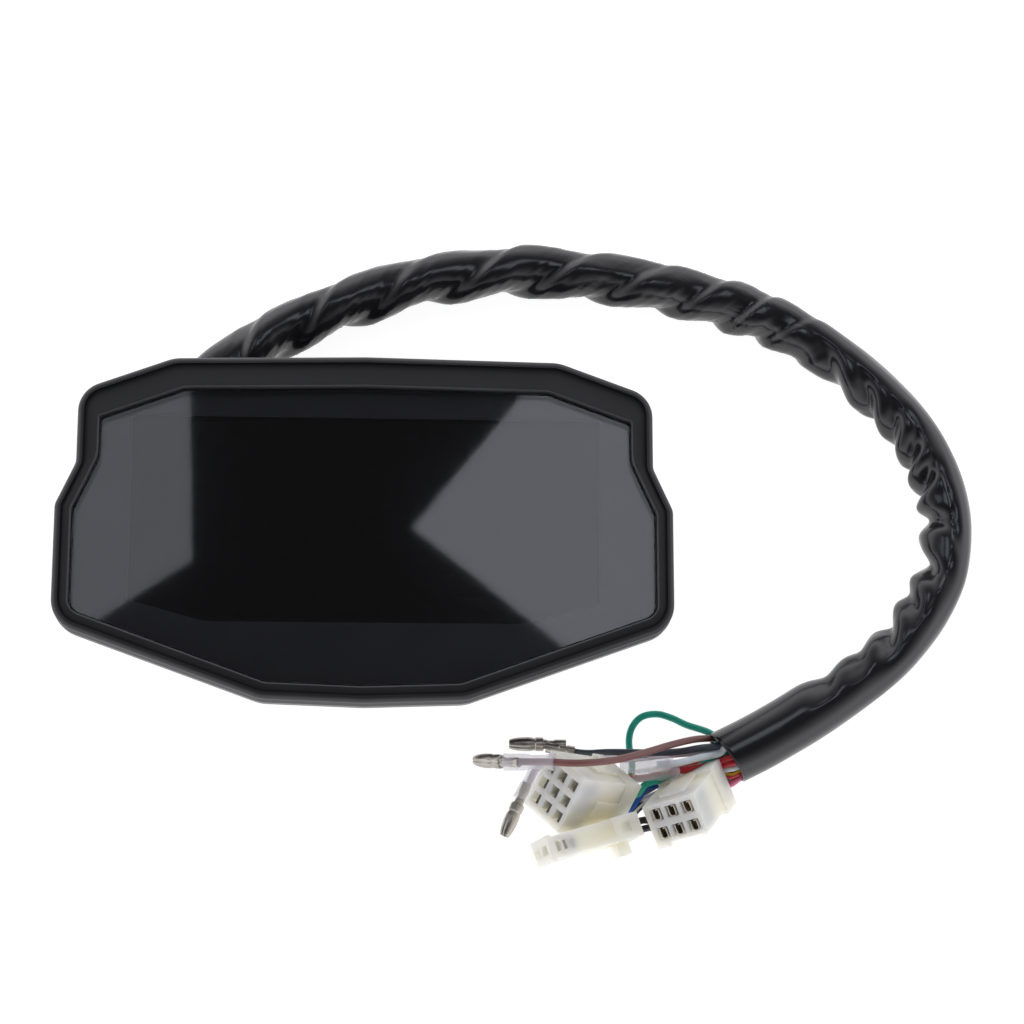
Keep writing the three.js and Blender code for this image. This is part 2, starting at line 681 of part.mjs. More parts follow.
const neckWidth = OUTLET_HALF_WIDTH - GAP;
const neckHeight = OUTLET_HALF_HEIGHT - GAP;
const innerFace = outletWall - BOX_WALL - GAP;
const outerFace = outletWall + GAP;
const bootEnd = outerFace + FLANGE_THICK + BOOT_LENGTH;
const outerHalfHeight = OUTLET_HALF_HEIGHT + 2 * FLANGE_LIP;
function cableGrommet() {
  const inside = [OUTLET_HALF_WIDTH + FLANGE_LIP, OUTLET_HALF_HEIGHT + FLANGE_LIP, OUTLET_Z];
  const outside = [OUTLET_HALF_WIDTH + 2 * FLANGE_LIP, outerHalfHeight, OUTLET_Z];
  return alongY([
    [...inside, innerFace - FLANGE_THICK],
    [...inside, innerFace],
    [neckWidth, neckHeight, OUTLET_Z, innerFace],
    [neckWidth, neckHeight, OUTLET_Z, outerFace],
    [...outside, outerFace],
    [...outside, outerFace + FLANGE_THICK],
    [BOOT_END_RADIUS, outerHalfHeight, OUTLET_Z, outerFace + FLANGE_THICK],
    [BOOT_END_RADIUS, BOOT_END_RADIUS, sleeveStartZ, bootEnd],
  ]);
}

// ---------------------------------------------------------------- cords
// A tube of the given radius through hand-chosen points
function tube(points, radius, steps, sides = 8) {
  const path = new THREE.CatmullRomCurve3(points.map((p) => new THREE.Vector3(...p)), false, "centripetal");
  const ring = Array.from({ length: sides }, (_, k) => {
    const turn = (2 * Math.PI * k) / sides;
    return new THREE.Vector2(radius * Math.cos(turn), radius * Math.sin(turn));
  });
  return new THREE.ExtrudeGeometry(new THREE.Shape(ring), { steps, extrudePath: path });
}

const sleeveStartZ = 7.6;
const SLEEVE_ROUTE = [
  [-53, 21.6, 7.6],
  [-53, 30, 7.6],
  [-51.3, 40, 7.6],
  [-46, 49.5, 7.6],
  [-36, 57.6, 7.6],
  [-25, 64.8, 7.6],
  [-13.4, 70.8, 7.6],
  [-1.5, 75.3, 7.6],
  [9.2, 79.3, 7.6],
  [20, 82, 7.6],
  [30.5, 83.3, 7.6],
  [40.3, 84.2, 7.6],
  [50.1, 84.3, 7.6],
  [59.3, 83.6, 7.6],
  [76.7, 81.8, 7.6],
  [93.8, 78.1, 7.6],
  [111, 73, 7.6],
  [128, 65.2, 7.6],
  [143.4, 54, 7.6],
  [157, 39.8, 7.6],
  [165, 25.4, 7.6],
  [168.9, 9, 7.6],
  [167.4, -4.6, 7.6],
  [162, -16, 7.6],
  [154, -27, 7.8],
  [143, -36.8, 8],
  [131, -44.8, 8.2],
  [119, -52, 8.4],
  [111.2, -56.4, 8.5],
  [103.7, -60.2, 8.5],
];
const harnessSleeve = () => tube(SLEEVE_ROUTE, SLEEVE_RADIUS, 40, 10);

const coreEndZ = headerBottom - GAP;
const coreOut = innerFace - FLANGE_THICK - GAP;
const innerLeads = () => tube([
  [OUTLET_X, coreOut, OUTLET_Z],
  [OUTLET_X, coreOut - 6, OUTLET_Z],
  [OUTLET_X + 3, headerY + 2, OUTLET_Z - 0.6],
  [headerX, headerY, coreEndZ - CORE_RADIUS],
  [headerX, headerY, coreEndZ],
], CORE_RADIUS, 8, 8);

const LEADS = {
  brown_lead: [
    [99.8, -54.9, 9.2], [94, -55.8, 12], [87, -58, 16.2], [79, -61.2, 22], [70, -64.4, 28], [61, -66, 32.3],
    [56, -66.1, 32.6], [52.8, -65.7, 31.4],
  ],
  grey_lead: [
    [100.8, -57.4, 11.6], [95.2, -58.3, 12], [89.5, -59.2, 11.2], [82.5, -59.4, 10], [75.6, -59.1, 8.4],
    [69, -58.8, 6.4], [63.8, -58.8, 4.6], [60.8, -58.3, 3.7],
  ],
  lilac_lead: [
    [101.3, -58.4, 8.8], [92, -59.2, 8.4], [84, -59.8, 7.2], [77, -60.4, 5.4], [70, -60.2, 2.4],
    [62, -59.8, 1.6], [54, -60.6, 1.8], [49.3, -63.3, 2.8],
  ],
  white_lead: [
    [101.7, -59.6, 11.2], [94.6, -61.4, 13.8], [87.4, -63.3, 16],
  ],
  green_lead: [
    [99, -53.2, 6.5], [92, -50.2, 4], [88.4, -48.2, 2.6], [84, -46.9, 2], [79.6, -47.8, 2], [77, -50.6, 2],
    [76, -54, 2], [76.2, -58, 1.8], [76.4, -62, 1.6], [75.8, -65.4, 3], [74.4, -67.6, 6.6],
    [72.2, -68.4, 10],
  ],
};

// Thicker stand-ins for the leads that share a connector: radius, then the route
const BUNDLES = {
  leads_to_9_pin: [2.6, [
    [101.9, -59.8, 5.2], [97, -60.2, 4], [91, -61, 3.2], [84.5, -63.2, 3.1], [79.8, -67.2, 4], [75.4, -71, 5.2],
    [70.2, -72.6, 8],
  ]],
  leads_to_6_pin: [1.7, [
    [103.8, -64.6, 4.6], [101.8, -65.4, 2.9], [98.8, -66.8, 2.5], [96.4, -68.5, 5.8],
  ]],
  leads_to_2_pin: [1.2, [
    [76, -80.8, 16.2], [79.6, -79.4, 14], [83, -76.2, 9.6], [83.6, -72.6, 5.4], [83.4, -68.6, 2],
  ]],
};

// ---------------------------------------------------------------- connectors and terminals
// A group at a point whose +Z is aimed by heading and elevation, then rolled about it, in degrees.
function aimed([x, y, z], heading, elevation, roll) {
  const group = new THREE.Group();
  const turn = THREE.MathUtils.degToRad(heading);
  const rise = THREE.MathUtils.degToRad(elevation);
  const forward = new THREE.Vector3(
    Math.cos(rise) * Math.cos(turn),
    Math.cos(rise) * Math.sin(turn),
    Math.sin(rise),
  );
  const level = new THREE.Vector3(0, 0, 1).cross(forward).normalize();
  const upward = forward.clone().cross(level);
  const basis = new THREE.Matrix4().makeBasis(level, upward, forward);
  group.quaternion.setFromRotationMatrix(basis);
  group.rotateZ(THREE.MathUtils.degToRad(roll));
  group.position.set(x, y, z);
  cluster.add(group);
  return group;
}

// A housing with a grid of square contact sockets in its front face
function housing(width, height, length, columns, rows, pitchX, pitchY, socket) {
  const front = length / 2;
  const body = block(-width / 2, width / 2, -height / 2, height / 2, -front, front);
  const sockets = [];
  for (let column = 0; column < columns; column++) {
    for (let row = 0; row < rows; row++) {
      const x = (column - (columns - 1) / 2) * pitchX;
      const y = (row - (rows - 1) / 2) * pitchY;
      const half = socket / 2;
      sockets.push(block(x - half, x + half, y - half, y + half, front - SOCKET_DEPTH, front + 1));
    }
  }
  return cut(body, ...sockets);
}

const SOCKET_DEPTH = 8;
const NINE_PIN = { width: 15.6, height: 17.4, length: 23, pitch: 4.9, socket: 3.4 };
const SIX_PIN = { width: 16.2, height: 11.7, length: 24, pitchX: 4.8, pitchY: 5.6, socket: 3.4 };
const TWO_PIN = { width: 6.4, height: 8.4, length: 32, pitch: 4, socket: 2.6 };

function ninePin() {
  const { width, height, length, pitch, socket } = NINE_PIN;
  const latch = block(width / 2 - 1, width / 2 + 1.3, -3, 3, -length / 2 + 1, length / 2 - 7);
  return join(housing(width, height, length, 3, 3, pitch, pitch, socket), latch);
}

function sixPin() {
  const { width, height, length, pitchX, pitchY, socket } = SIX_PIN;
  const ridge = block(-3, 3, height / 2 - 1, height / 2 + 1.4, -length / 2, length / 2 - 3);
  return join(housing(width, height, length, 3, 2, pitchX, pitchY, socket), ridge);
}

function twoPin() {
  const { width, height, length, pitch, socket } = TWO_PIN;
  const lug = block(width / 2 - 1, width / 2 + 4, -2, 2, -length / 2 + 4, -length / 2 + 8);
  return join(housing(width, height, length, 1, 2, pitch, pitch, socket), lug);
}

// A turned piece from one point towards another; the profile is [radius, distance] along it
function turnedBetween(name, profile, from, to, material) {
  const start = new THREE.Vector3(...from);
  const direction = new THREE.Vector3(...to).sub(start).normalize();
  const mesh = place(name, turned(profile, 12), material);
  mesh.position.copy(start);
  mesh.quaternion.setFromUnitVectors(new THREE.Vector3(0, 0, 1), direction);
}

const BULLET_RADIUS = 2;
const bulletProfile = (length) => [
  [0, 0],
  [BULLET_RADIUS - 0.4, 0],
  [BULLET_RADIUS - 0.2, length * 0.35],
  [BULLET_RADIUS, length * 0.55],
  [BULLET_RADIUS * 0.55, length],
  [0, length],
];
const tubeProfile = (radius, length) => [
  [0, 0],
  [radius - 0.3, 0],
  [radius, 0.5],
  [radius, length - 0.5],
  [radius - 0.3, length],
  [0, length],
];
const distance = (a, b) => new THREE.Vector3(...a).distanceTo(new THREE.Vector3(...b));

const BULLETS = {
  bullet_terminal_1: [[38.7, -64.8, 25.9], [31.4, -63.5, 20]],
  bullet_terminal_2: [[51.6, -56.1, 3.2], [41.6, -56.1, 3.2]],
  bullet_terminal_3: [[44.3, -73, 2.8], [40.2, -82.3, 2.8]],
};
const SLEEVES = {
  bullet_sleeve_1: [2.5, [52.3, -65.6, 31.1], [39.1, -64.9, 26.1]],
  bullet_crimp_2: [1.5, [60.3, -58.3, 3.5], [52.1, -56.9, 3.3]],
  bullet_sleeve_3: [2.4, [49, -63.9, 2.9], [44.6, -72.4, 2.8]],
  receptacle_sleeve: [2.6, [72.2, -64.7, 17], [86.9, -63.4, 16.1]],
};

// ---------------------------------------------------------------- assembly
place("front_case", frontCase(), blackPlastic);
place("lens", lensPlate(), smokedLens);
place("lens_gasket", lensTape(), rubber);
place("mask_frame", maskFrame(), maskBlack);
place("lcd_glass", glassPlate(), displayGlass);
place("lcd_carrier", carrierTray(), whitePlastic);
place("light_guide", lightGuide(), clearAcrylic);
place("backlight_lamp_bar", lampBar(), whitePlastic);
place("backlight_reflector", reflectorSheet(), whitePlastic);
place("lcd_flex_cable", displayFlex(), polyimide);
place("flex_socket", flexSocket(), chipBlack);
place("main_pcb", mainBoard(), boardGreen);
place("mcu_chip", chip(8, 4, 14, 14, 1.6), chipBlack);
place("regulator_chip", chip(-14, 6, 7, 9, 2.4), chipBlack);
place("supply_capacitor", rod(-10, 20, 4, underBoard - 9, underBoard), steel);
place("harness_header", chip(headerX, headerY, HEADER_WIDTH, HEADER_DEPTH, HEADER_HEIGHT), whitePlastic);
place("inner_leads", innerLeads(), blackVinyl);
place("rear_cover", rearCover(), blackPlastic);
place("case_seal", caseSeal(), rubber);
place("vent_plug", ventPlug(), rubber).position.set(VENT_X, VENT_Y, 0);
place("cable_grommet", cableGrommet(), rubber);
for (const button of BUTTONS) {
  place("tact_switch_" + button.side, switchBody(button), chipBlack);
  place("switch_plunger_" + button.side, switchPlunger(button), blackPlastic);
  const cap = place("button_" + button.side, pushButton(), rubber);
  cap.position.set(button.x, BUTTON_Y, 0);
}
CASE_SCREWS.forEach(({ x, y }, i) =>
  place("case_screw_" + (i + 1), screwUp(x, y, screwHeadTop, screwTip), steel),
);
BOARD_SCREWS.forEach(({ x, y }, i) =>
  place("board_screw_" + (i + 1), screwDown(x, y, boardTop + GAP, boardTop + GAP - BOARD_SCREW_LENGTH), steel),
);
MOUNT_BOSSES.forEach(({ x, y }, i) => place("mount_insert_" + (i + 1), mountInsert(x, y), brass));
place("harness_sleeve", harnessSleeve(), blackVinyl);
for (const [name, route] of Object.entries(LEADS)) {
  place(name, tube(route, LEAD_RADIUS, 2 * route.length), leadColour[name]);
}
for (const [name, [radius, route]] of Object.entries(BUNDLES)) {
  place(name, tube(route, radius, 2 * route.length), blackVinyl);
}
place("connector_9_pin", ninePin(), ivoryNylon, aimed([61.3, -72.6, 16.7], 181.7, 44.7, 51.6));
place("connector_6_pin", sixPin(), ivoryNylon, aimed([91.2, -74.7, 16], 231.8, 51, 56.4));
place("connector_2_pin", twoPin(), ivoryNylon, aimed([61.7, -86.4, 25.4], 199.1, 26.3, 0));
for (const [name, [from, to]] of Object.entries(BULLETS)) {
  turnedBetween(name, bulletProfile(distance(from, to)), from, to, tinned);
}
for (const [name, [radius, from, to]] of Object.entries(SLEEVES)) {
  turnedBetween(name, tubeProfile(radius, distance(from, to)), from, to, clearVinyl);
}

export default cluster;
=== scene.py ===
"""Motorcycle instrument cluster with its wiring harness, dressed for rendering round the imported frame."""
import math

import bmesh
import bpy
from mathutils import Matrix, Vector, noise


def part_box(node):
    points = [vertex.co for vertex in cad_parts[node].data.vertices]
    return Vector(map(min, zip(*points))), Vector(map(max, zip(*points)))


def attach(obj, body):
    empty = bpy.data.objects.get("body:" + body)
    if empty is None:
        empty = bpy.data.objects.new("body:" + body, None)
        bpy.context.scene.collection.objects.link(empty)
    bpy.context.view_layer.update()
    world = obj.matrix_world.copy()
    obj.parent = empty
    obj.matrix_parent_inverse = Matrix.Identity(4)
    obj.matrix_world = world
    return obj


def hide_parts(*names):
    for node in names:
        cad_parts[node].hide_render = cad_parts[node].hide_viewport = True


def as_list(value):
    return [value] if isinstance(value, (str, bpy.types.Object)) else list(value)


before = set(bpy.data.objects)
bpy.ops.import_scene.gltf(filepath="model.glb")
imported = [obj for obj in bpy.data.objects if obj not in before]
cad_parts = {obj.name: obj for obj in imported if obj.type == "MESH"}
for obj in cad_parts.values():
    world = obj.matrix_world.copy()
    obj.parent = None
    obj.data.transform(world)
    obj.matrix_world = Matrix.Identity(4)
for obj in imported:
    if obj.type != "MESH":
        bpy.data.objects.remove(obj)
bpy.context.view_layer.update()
MM = 0.001
ROOT = "cluster"

# ---------------------------------------------------------------- sizes, in millimetres
CASE_LOW, CASE_HIGH = (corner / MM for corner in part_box("front_case"))
REAR_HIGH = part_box("rear_cover")[1] / MM
LENS_LOW, LENS_HIGH = (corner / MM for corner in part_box("lens"))
CASE_TOP = CASE_HIGH.z
HALF_WIDTH = CASE_HIGH.x
HALF_HEIGHT = CASE_HIGH.y
EDGE_BOW = 1.0
SHOULDER_STEP = 5.5
CHAMFER = (26.55, 9.8)  # run and drop of the cut upper corners
UPPER_SIDE = 21.0
JOG_DROP = 12.2
SLOPE = (58.05, 21.1)  # run and rise of the lower edges
BEZEL = (8.75, 9.25, 6.05, 4.7, 4.65, 4.65, 4.5)  # top, chamfer, upper side, jog, lower side, slope, bottom
GAP = 0.3
EDGE_FILLET = 1.9
MOUTH_FILLET = 0.55
SHELF_LEDGE = 1.5
SHELF_DROP = 1.9  # from the lens's back to the mask's
LEAD_RADIUS = 1.0
TABLE_CLEARANCE = 0.05


# ---------------------------------------------------------------- meshes
def link(name, mesh, material=None):
    obj = bpy.data.objects.new(name, mesh)
    bpy.context.scene.collection.objects.link(obj)
    if material:
        mesh.materials.clear()
        mesh.materials.append(material)
    return obj


def smooth(mesh, angle=35):
    mesh.shade_smooth()
    mesh.set_sharp_from_angle(angle=math.radians(angle))


def solid(name, points, faces, material, angle=35):
    """A mesh object from points in millimetres, with its faces turned outwards."""
    mesh = bpy.data.meshes.new(name)
    mesh.from_pydata([Vector(p) * MM for p in points], [], faces)
    tidy = bmesh.new()
    tidy.from_mesh(mesh)
    bmesh.ops.recalc_face_normals(tidy, faces=tidy.faces)
    tidy.to_mesh(mesh)
    tidy.free()
    smooth(mesh, angle)
    return link(name, mesh, material)


def lofted(name, rings, material, ends="cap", angle=35):
    """Rings of as many points each, skinned in order. ends is cap, or loop to join last to first."""
    count = len(rings[0])
    points = [p for ring in rings for p in ring]
    spans = len(rings) if ends == "loop" else len(rings) - 1
    faces = []
    for level in range(spans):
        here = level * count
        there = (level + 1) % len(rings) * count
        for i in range(count):
            j = (i + 1) % count
            faces.append((here + i, here + j, there + j, there + i))
    if ends == "cap":
        last = (len(rings) - 1) * count
        faces.append(tuple(range(count)))
        faces.append(tuple(range(last, last + count)))
    return solid(name, points, faces, material, angle)


def lathe(name, profile, material=None, sides=40, angle=35):
    """Turned about +Z from [radius, height] pairs that start and end on the axis."""
    middle = profile[1:-1]
    rings = [
        [(r * math.cos(turn), r * math.sin(turn), z) for turn in turns(sides)]
        for r, z in middle
    ]
    points = [p for ring in rings for p in ring]
    faces = [
        (level * sides + i, level * sides + (i + 1) % sides,
         (level + 1) * sides + (i + 1) % sides, (level + 1) * sides + i)
        for level in range(len(rings) - 1)
        for i in range(sides)
    ]
    for (_, height), ring in ((profile[0], 0), (profile[-1], (len(rings) - 1) * sides)):
        points.append((0, 0, height))
        tip = len(points) - 1
        faces += [(tip, ring + i, ring + (i + 1) % sides) for i in range(sides)]
    return solid(name, points, faces, material, angle)


def turns(sides):
    return [2 * math.pi * k / sides for k in range(sides)]


def block(name, low, high, material=None):
    points = [(x, y, z) for x in (low[0], high[0]) for y in (low[1], high[1]) for z in (low[2], high[2])]
    faces = [(0, 1, 3, 2), (4, 6, 7, 5), (0, 4, 5, 1), (2, 3, 7, 6), (0, 2, 6, 4), (1, 5, 7, 3)]
    return solid(name, points, faces, material)


def rod(radius, low, high, at=(0, 0), sides=32):
    return turned("rod", [(0, low), (radius, low), (radius, high), (0, high)], at, sides=sides)


def merge(name, pieces, material=None):
    """Several objects' meshes as one object, each piece still its own closed shell."""
    whole = bmesh.new()
    for piece in pieces:
        whole.from_mesh(piece.data)
    mesh = bpy.data.meshes.new(name)
    whole.to_mesh(mesh)
    whole.free()
    for piece in pieces:
        discard(piece)
    smooth(mesh)
    return link(name, mesh, material)


def discard(piece):
    mesh = piece.data
    bpy.data.objects.remove(piece)
    bpy.data.meshes.remove(mesh)


def bake(piece):
    """The piece's modifiers applied to its mesh."""
    graph = bpy.context.evaluated_depsgraph_get()
    graph.update()
    made = bpy.data.meshes.new_from_object(piece.evaluated_get(graph))
    old = piece.data
    piece.modifiers.clear()
    piece.data = made
    bpy.data.meshes.remove(old)
    smooth(made)
    return piece


def boolean(piece, tool, operation="DIFFERENCE"):
    step = piece.modifiers.new(operation, "BOOLEAN")
    step.operation = operation
    step.solver = "EXACT"
    step.object = tool
    bake(piece)
    discard(tool)
    return piece


def rounded(piece, width, segments=3, angle=40):
    """Every sharp edge of the piece with a small fillet."""
    step = piece.modifiers.new("fillet", "BEVEL")
    step.width = width * MM
    step.segments = segments
    step.limit_method = "ANGLE"
    step.angle_limit = math.radians(angle)
    step.harden_normals = False
    return bake(piece)


def placed(piece, matrix):
    """The piece's mesh moved by a matrix in millimetres, with the object left at the origin."""
    moved = matrix.copy()
    moved.translation = moved.translation * MM
    piece.data.transform(moved)
    return piece


def turned(name, profile, spot, material=None, sides=48):
    """A lathe-turned piece whose axis stands on a spot of the table."""
    return placed(lathe(name, profile, material, sides=sides), Matrix.Translation((*spot, 0)))


def finish_piece(piece, material=None, body=ROOT, stands_for=()):
    if material:
        piece.data.materials.clear()
        piece.data.materials.append(material)
    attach(piece, body)
    if stands_for:
        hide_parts(*stands_for)
    return piece


# ---------------------------------------------------------------- outlines
def inset_polygon(corners, distances):
    """An anticlockwise polygon of (x, y, radius) with each edge moved inwards by its own distance."""
    lines = []
    for i, corner in enumerate(corners):
        after = corners[(i + 1) % len(corners)]
        along = Vector((after[0] - corner[0], after[1] - corner[1])).normalized()
        inward = Vector((-along.y, along.x))
        lines.append((Vector(corner[:2]) + inward * distances[i], along))
    moved = []
    for i, corner in enumerate(corners):
        start, along = lines[i - 1]
        other, onward = lines[i]
        turn = along.x * onward.y - along.y * onward.x
        offset = other - start
        reach = (offset.x * onward.y - offset.y * onward.x) / turn
        point = start + along * reach
        mean = (distances[i - 1] + distances[i]) / 2
        if turn > 0:
            radius = max(corner[2] - mean, min(corner[2], 1))
        else:
            radius = corner[2] + mean
        moved.append((point.x, point.y, radius))
    return moved


def rounded_loop(corners, steps=10):
    loop = []
    for i, (x, y, wanted) in enumerate(corners):
        here = Vector((x, y))
        back = Vector(corners[i - 1][:2]) - here
        ahead = Vector(corners[(i + 1) % len(corners)][:2]) - here
        if not wanted:
            loop.append(here)
            continue
        half = (math.pi - back.angle(ahead)) / 2
        room = 0.48 * min(back.length, ahead.length)
        reach = min(wanted * math.tan(half), room)
        radius = reach / math.tan(half)
        middle = (back.normalized() + ahead.normalized()).normalized()
        centre = here + middle * (radius / math.cos(half))
        first = here + back.normalized() * reach - centre
        sense = 1 if back.x * ahead.y - back.y * ahead.x < 0 else -1
        for k in range(steps + 1):
            loop.append(centre + Matrix.Rotation(sense * 2 * half * k / steps, 2) @ first)
    return loop


def case_corners():
    upper = HALF_WIDTH - SHOULDER_STEP
    shoulder = HALF_HEIGHT - EDGE_BOW - CHAMFER[1]
    jog = shoulder - UPPER_SIDE
    left = [
        (CHAMFER[0] - upper, HALF_HEIGHT - EDGE_BOW, 12),
        (-upper, shoulder, 8.5),
        (-upper, jog, 5),
        (-HALF_WIDTH, jog - JOG_DROP, 5),
        (-HALF_WIDTH, SLOPE[1] + EDGE_BOW - HALF_HEIGHT, 9.5),
        (SLOPE[0] - HALF_WIDTH, EDGE_BOW - HALF_HEIGHT, 12),
    ]
    right = [(-x, y, radius) for x, y, radius in reversed(left)]
    return [(0, HALF_HEIGHT, 0), *left, (0, -HALF_HEIGHT, 0), *right]


CORNERS = case_corners()
BEZEL_WIDTHS = [*BEZEL, *reversed(BEZEL)]


def case_ring(inset, z):
    loop = rounded_loop(inset_polygon(CORNERS, [inset] * len(CORNERS)))
    return [(p.x, p.y, z) for p in loop]


def aperture_ring(inset, z):
    loop = rounded_loop(inset_polygon(CORNERS, [width + inset for width in BEZEL_WIDTHS]))
    return [(p.x, p.y, z) for p in loop]


def fillet(ring, radius, inset, level, up=1, inward=1, steps=7):
    """Rings that turn an edge from the side face to the flat face at the given level."""
    rings = []
    for k in range(steps + 1):
        turn = math.pi / 2 * k / steps
        rings.append(ring(
            inset + inward * radius * (1 - math.cos(turn)),
            level - up * radius * (1 - math.sin(turn)),
        ))
    return rings


# ---------------------------------------------------------------- materials
def blank(name):
    material = bpy.data.materials.new(name)
    material.use_nodes = True
    nodes = material.node_tree.nodes
    shader = nodes["Principled BSDF"]
    return material, nodes, material.node_tree.links, shader


def fill(node, values):
    for name, value in values.items():
        node.inputs[name].default_value = value


def surface(
    name, colour, rough, *, variation=0.12, scale=60, grain=900, bump=0.12, depth=0.00003,
    metallic=0.0, coat=0.0, coat_rough=0.1, subsurface=0.0, alpha=1.0, transmission=0.0, ior=1.5,
    specular=0.5, stripe=None, rough_spread=0.06, sheen=0.0,
):
    """A procedural finish: a soft mottle in the colour and roughness, and a fine grain in the bump."""
    material, nodes, links, shader = blank(name)
    place = nodes.new("ShaderNodeTexCoord")
    mottle = nodes.new("ShaderNodeTexNoise")
    fill(mottle, {"Scale": scale, "Detail": 4})
    links.new(place.outputs["Object"], mottle.inputs["Vector"])
    ramp = nodes.new("ShaderNodeValToRGB")
    low, high = ramp.color_ramp.elements
    low.position, high.position = 0.3, 0.7
    low.color = (*[c * (1 - variation) for c in colour], 1)
    high.color = (*[min(1, c * (1 + variation)) for c in colour], 1)
    links.new(mottle.outputs["Fac"], ramp.inputs["Fac"])
    tint = ramp.outputs["Color"]
    if stripe:
        tint = striped(nodes, links, tint, stripe)
    links.new(tint, shader.inputs["Base Color"])
    worn = nodes.new("ShaderNodeMapRange")
    fill(worn, {"To Min": max(0.02, rough - rough_spread), "To Max": rough + rough_spread})
    links.new(mottle.outputs["Fac"], worn.inputs["Value"])
    links.new(worn.outputs["Result"], shader.inputs["Roughness"])
    if bump:
        fine = nodes.new("ShaderNodeTexNoise")
        fill(fine, {"Scale": grain, "Detail": 2})
        links.new(place.outputs["Object"], fine.inputs["Vector"])
        lift = nodes.new("ShaderNodeBump")
        fill(lift, {"Strength": bump, "Distance": depth})
        links.new(fine.outputs["Fac"], lift.inputs["Height"])
        links.new(lift.outputs["Normal"], shader.inputs["Normal"])
    fill(shader, {
        "Metallic": metallic, "Coat Weight": coat, "Coat Roughness": coat_rough,
        "Subsurface Weight": subsurface, "Subsurface Scale": 0.008,
        "Subsurface Radius": (1.0, 0.93, 0.75), "Alpha": alpha, "Transmission Weight": transmission,
        "IOR": ior, "Specular IOR Level": specular, "Sheen Weight": sheen, "Sheen Roughness": 0.35,
    })
    return material


def math_step(nodes, links, operation, source, value):
    step = nodes.new("ShaderNodeMath")
    step.operation = operation
    step.inputs[1].default_value = value
    links.new(source, step.inputs[0])
    return step.outputs["Value"]


def striped(nodes, links, base, colour):
    """A narrow tracer stripe along a lead, from the tube's own UV."""
    tube_uv = nodes.new("ShaderNodeUVMap")
    tube_uv.uv_map = "tube"
    split = nodes.new("ShaderNodeSeparateXYZ")
    links.new(tube_uv.outputs["UV"], split.inputs["Vector"])
    away = math_step(nodes, links, "PINGPONG", split.outputs["X"], 0.25)
    band = math_step(nodes, links, "LESS_THAN", away, 0.06)
    mix = nodes.new("ShaderNodeMix")
    mix.data_type = "RGBA"
    links.new(band, mix.inputs["Factor"])
    links.new(base, mix.inputs["A"])
    mix.inputs["B"].default_value = (*colour, 1)
    return mix.outputs["Result"]


CASE_BLACK = surface(
    "case_black", (0.0135, 0.0135, 0.015), 0.41, grain=1500, bump=0.2, depth=0.00004, rough_spread=0.04,
    sheen=0.22,
)
MASK_BLACK = surface("mask_black", (0.06, 0.057, 0.063), 0.4, bump=0)
LENS = surface(
    "smoked_lens", (0.62, 0.63, 0.66), 0.03, variation=0.02, scale=15, bump=0.02, grain=25,
    depth=0.0004, transmission=1.0, ior=1.49, rough_spread=0.008,
)
DISPLAY = surface("display_glass", (0.0016, 0.0017, 0.0019), 0.12, bump=0, specular=0.12)
WHITE = surface("white_plastic", (0.75, 0.75, 0.72), 0.5)
ACRYLIC = surface("clear_acrylic", (0.85, 0.9, 0.92), 0.1, transmission=0.9, bump=0)
BOARD = surface("board_green", (0.02, 0.11, 0.045), 0.4, scale=300, variation=0.3)
CHIP = surface("chip_black", (0.012, 0.012, 0.013), 0.55)
FILM = surface("polyimide", (0.5, 0.2, 0.03), 0.3)
RUBBER = surface("rubber_black", (0.013, 0.013, 0.0135), 0.72, grain=1100, bump=0.4, depth=0.00005)
STEEL = surface("zinc_steel", (0.6, 0.6, 0.62), 0.33, metallic=1.0, scale=500, variation=0.12)
BRASS = surface("brass", (0.72, 0.46, 0.17), 0.3, metallic=1.0, scale=400)
VINYL = surface(
    "vinyl_black", (0.0075, 0.0075, 0.0095), 0.24, grain=350, bump=0.06, depth=0.0001,
    coat=0.2, coat_rough=0.12, rough_spread=0.05, specular=0.55, sheen=0.07,
)
NYLON = surface(
    "nylon_ivory", (0.92, 0.87, 0.71), 0.4, variation=0.04, scale=140, grain=1300, bump=0.12,
    subsurface=1.0, rough_spread=0.05,
)
CLEAR = surface(
    "vinyl_clear", (0.8, 0.78, 0.84), 0.16, variation=0.05, scale=250, grain=500, bump=0.2,
    depth=0.0001, alpha=0.38,
)
TIN = surface(
    "tinned_brass", (0.44, 0.41, 0.37), 0.33, metallic=1.0, scale=350, variation=0.22, grain=1500,
    bump=0.25, rough_spread=0.1,
)
# The blade contacts are brass, but their colour is darkened far below brass as painted shade of the deep
# sockets they stand in.
SHADED_CONTACT = surface(
    "contact_painted_shade", (0.075, 0.065, 0.05), 0.45, metallic=0.5, scale=350, variation=0.3, grain=1500,
    bump=0.25,
)


def insulation(name, colour, stripe=None):
    return surface(
        "lead_" + name, colour, 0.36, variation=0.07, scale=250, grain=700, bump=0.12, stripe=stripe
    )


INSULATION = {
    "brown": insulation("brown", (0.21, 0.085, 0.075)),
    "grey": insulation("grey", (0.065, 0.075, 0.095)),
    "lilac": insulation("lilac", (0.7, 0.64, 0.74)),
    "white": insulation("white", (0.72, 0.8, 0.84)),
    "green": insulation("green", (0.01, 0.42, 0.3)),
    "red": insulation("red", (0.5, 0.012, 0.02)),
    "blue": insulation("blue", (0.015, 0.09, 0.4)),
    "black": insulation("black", (0.01, 0.009, 0.01)),
    "orange": insulation("orange", (0.7, 0.13, 0.05)),
    "pink": insulation("pink", (0.72, 0.2, 0.33)),
    "red_yellow": insulation("red_yellow", (0.45, 0.01, 0.015), (0.8, 0.5, 0.02)),
    "black_white": insulation("black_white", (0.01, 0.009, 0.01), (0.7, 0.7, 0.68)),
}


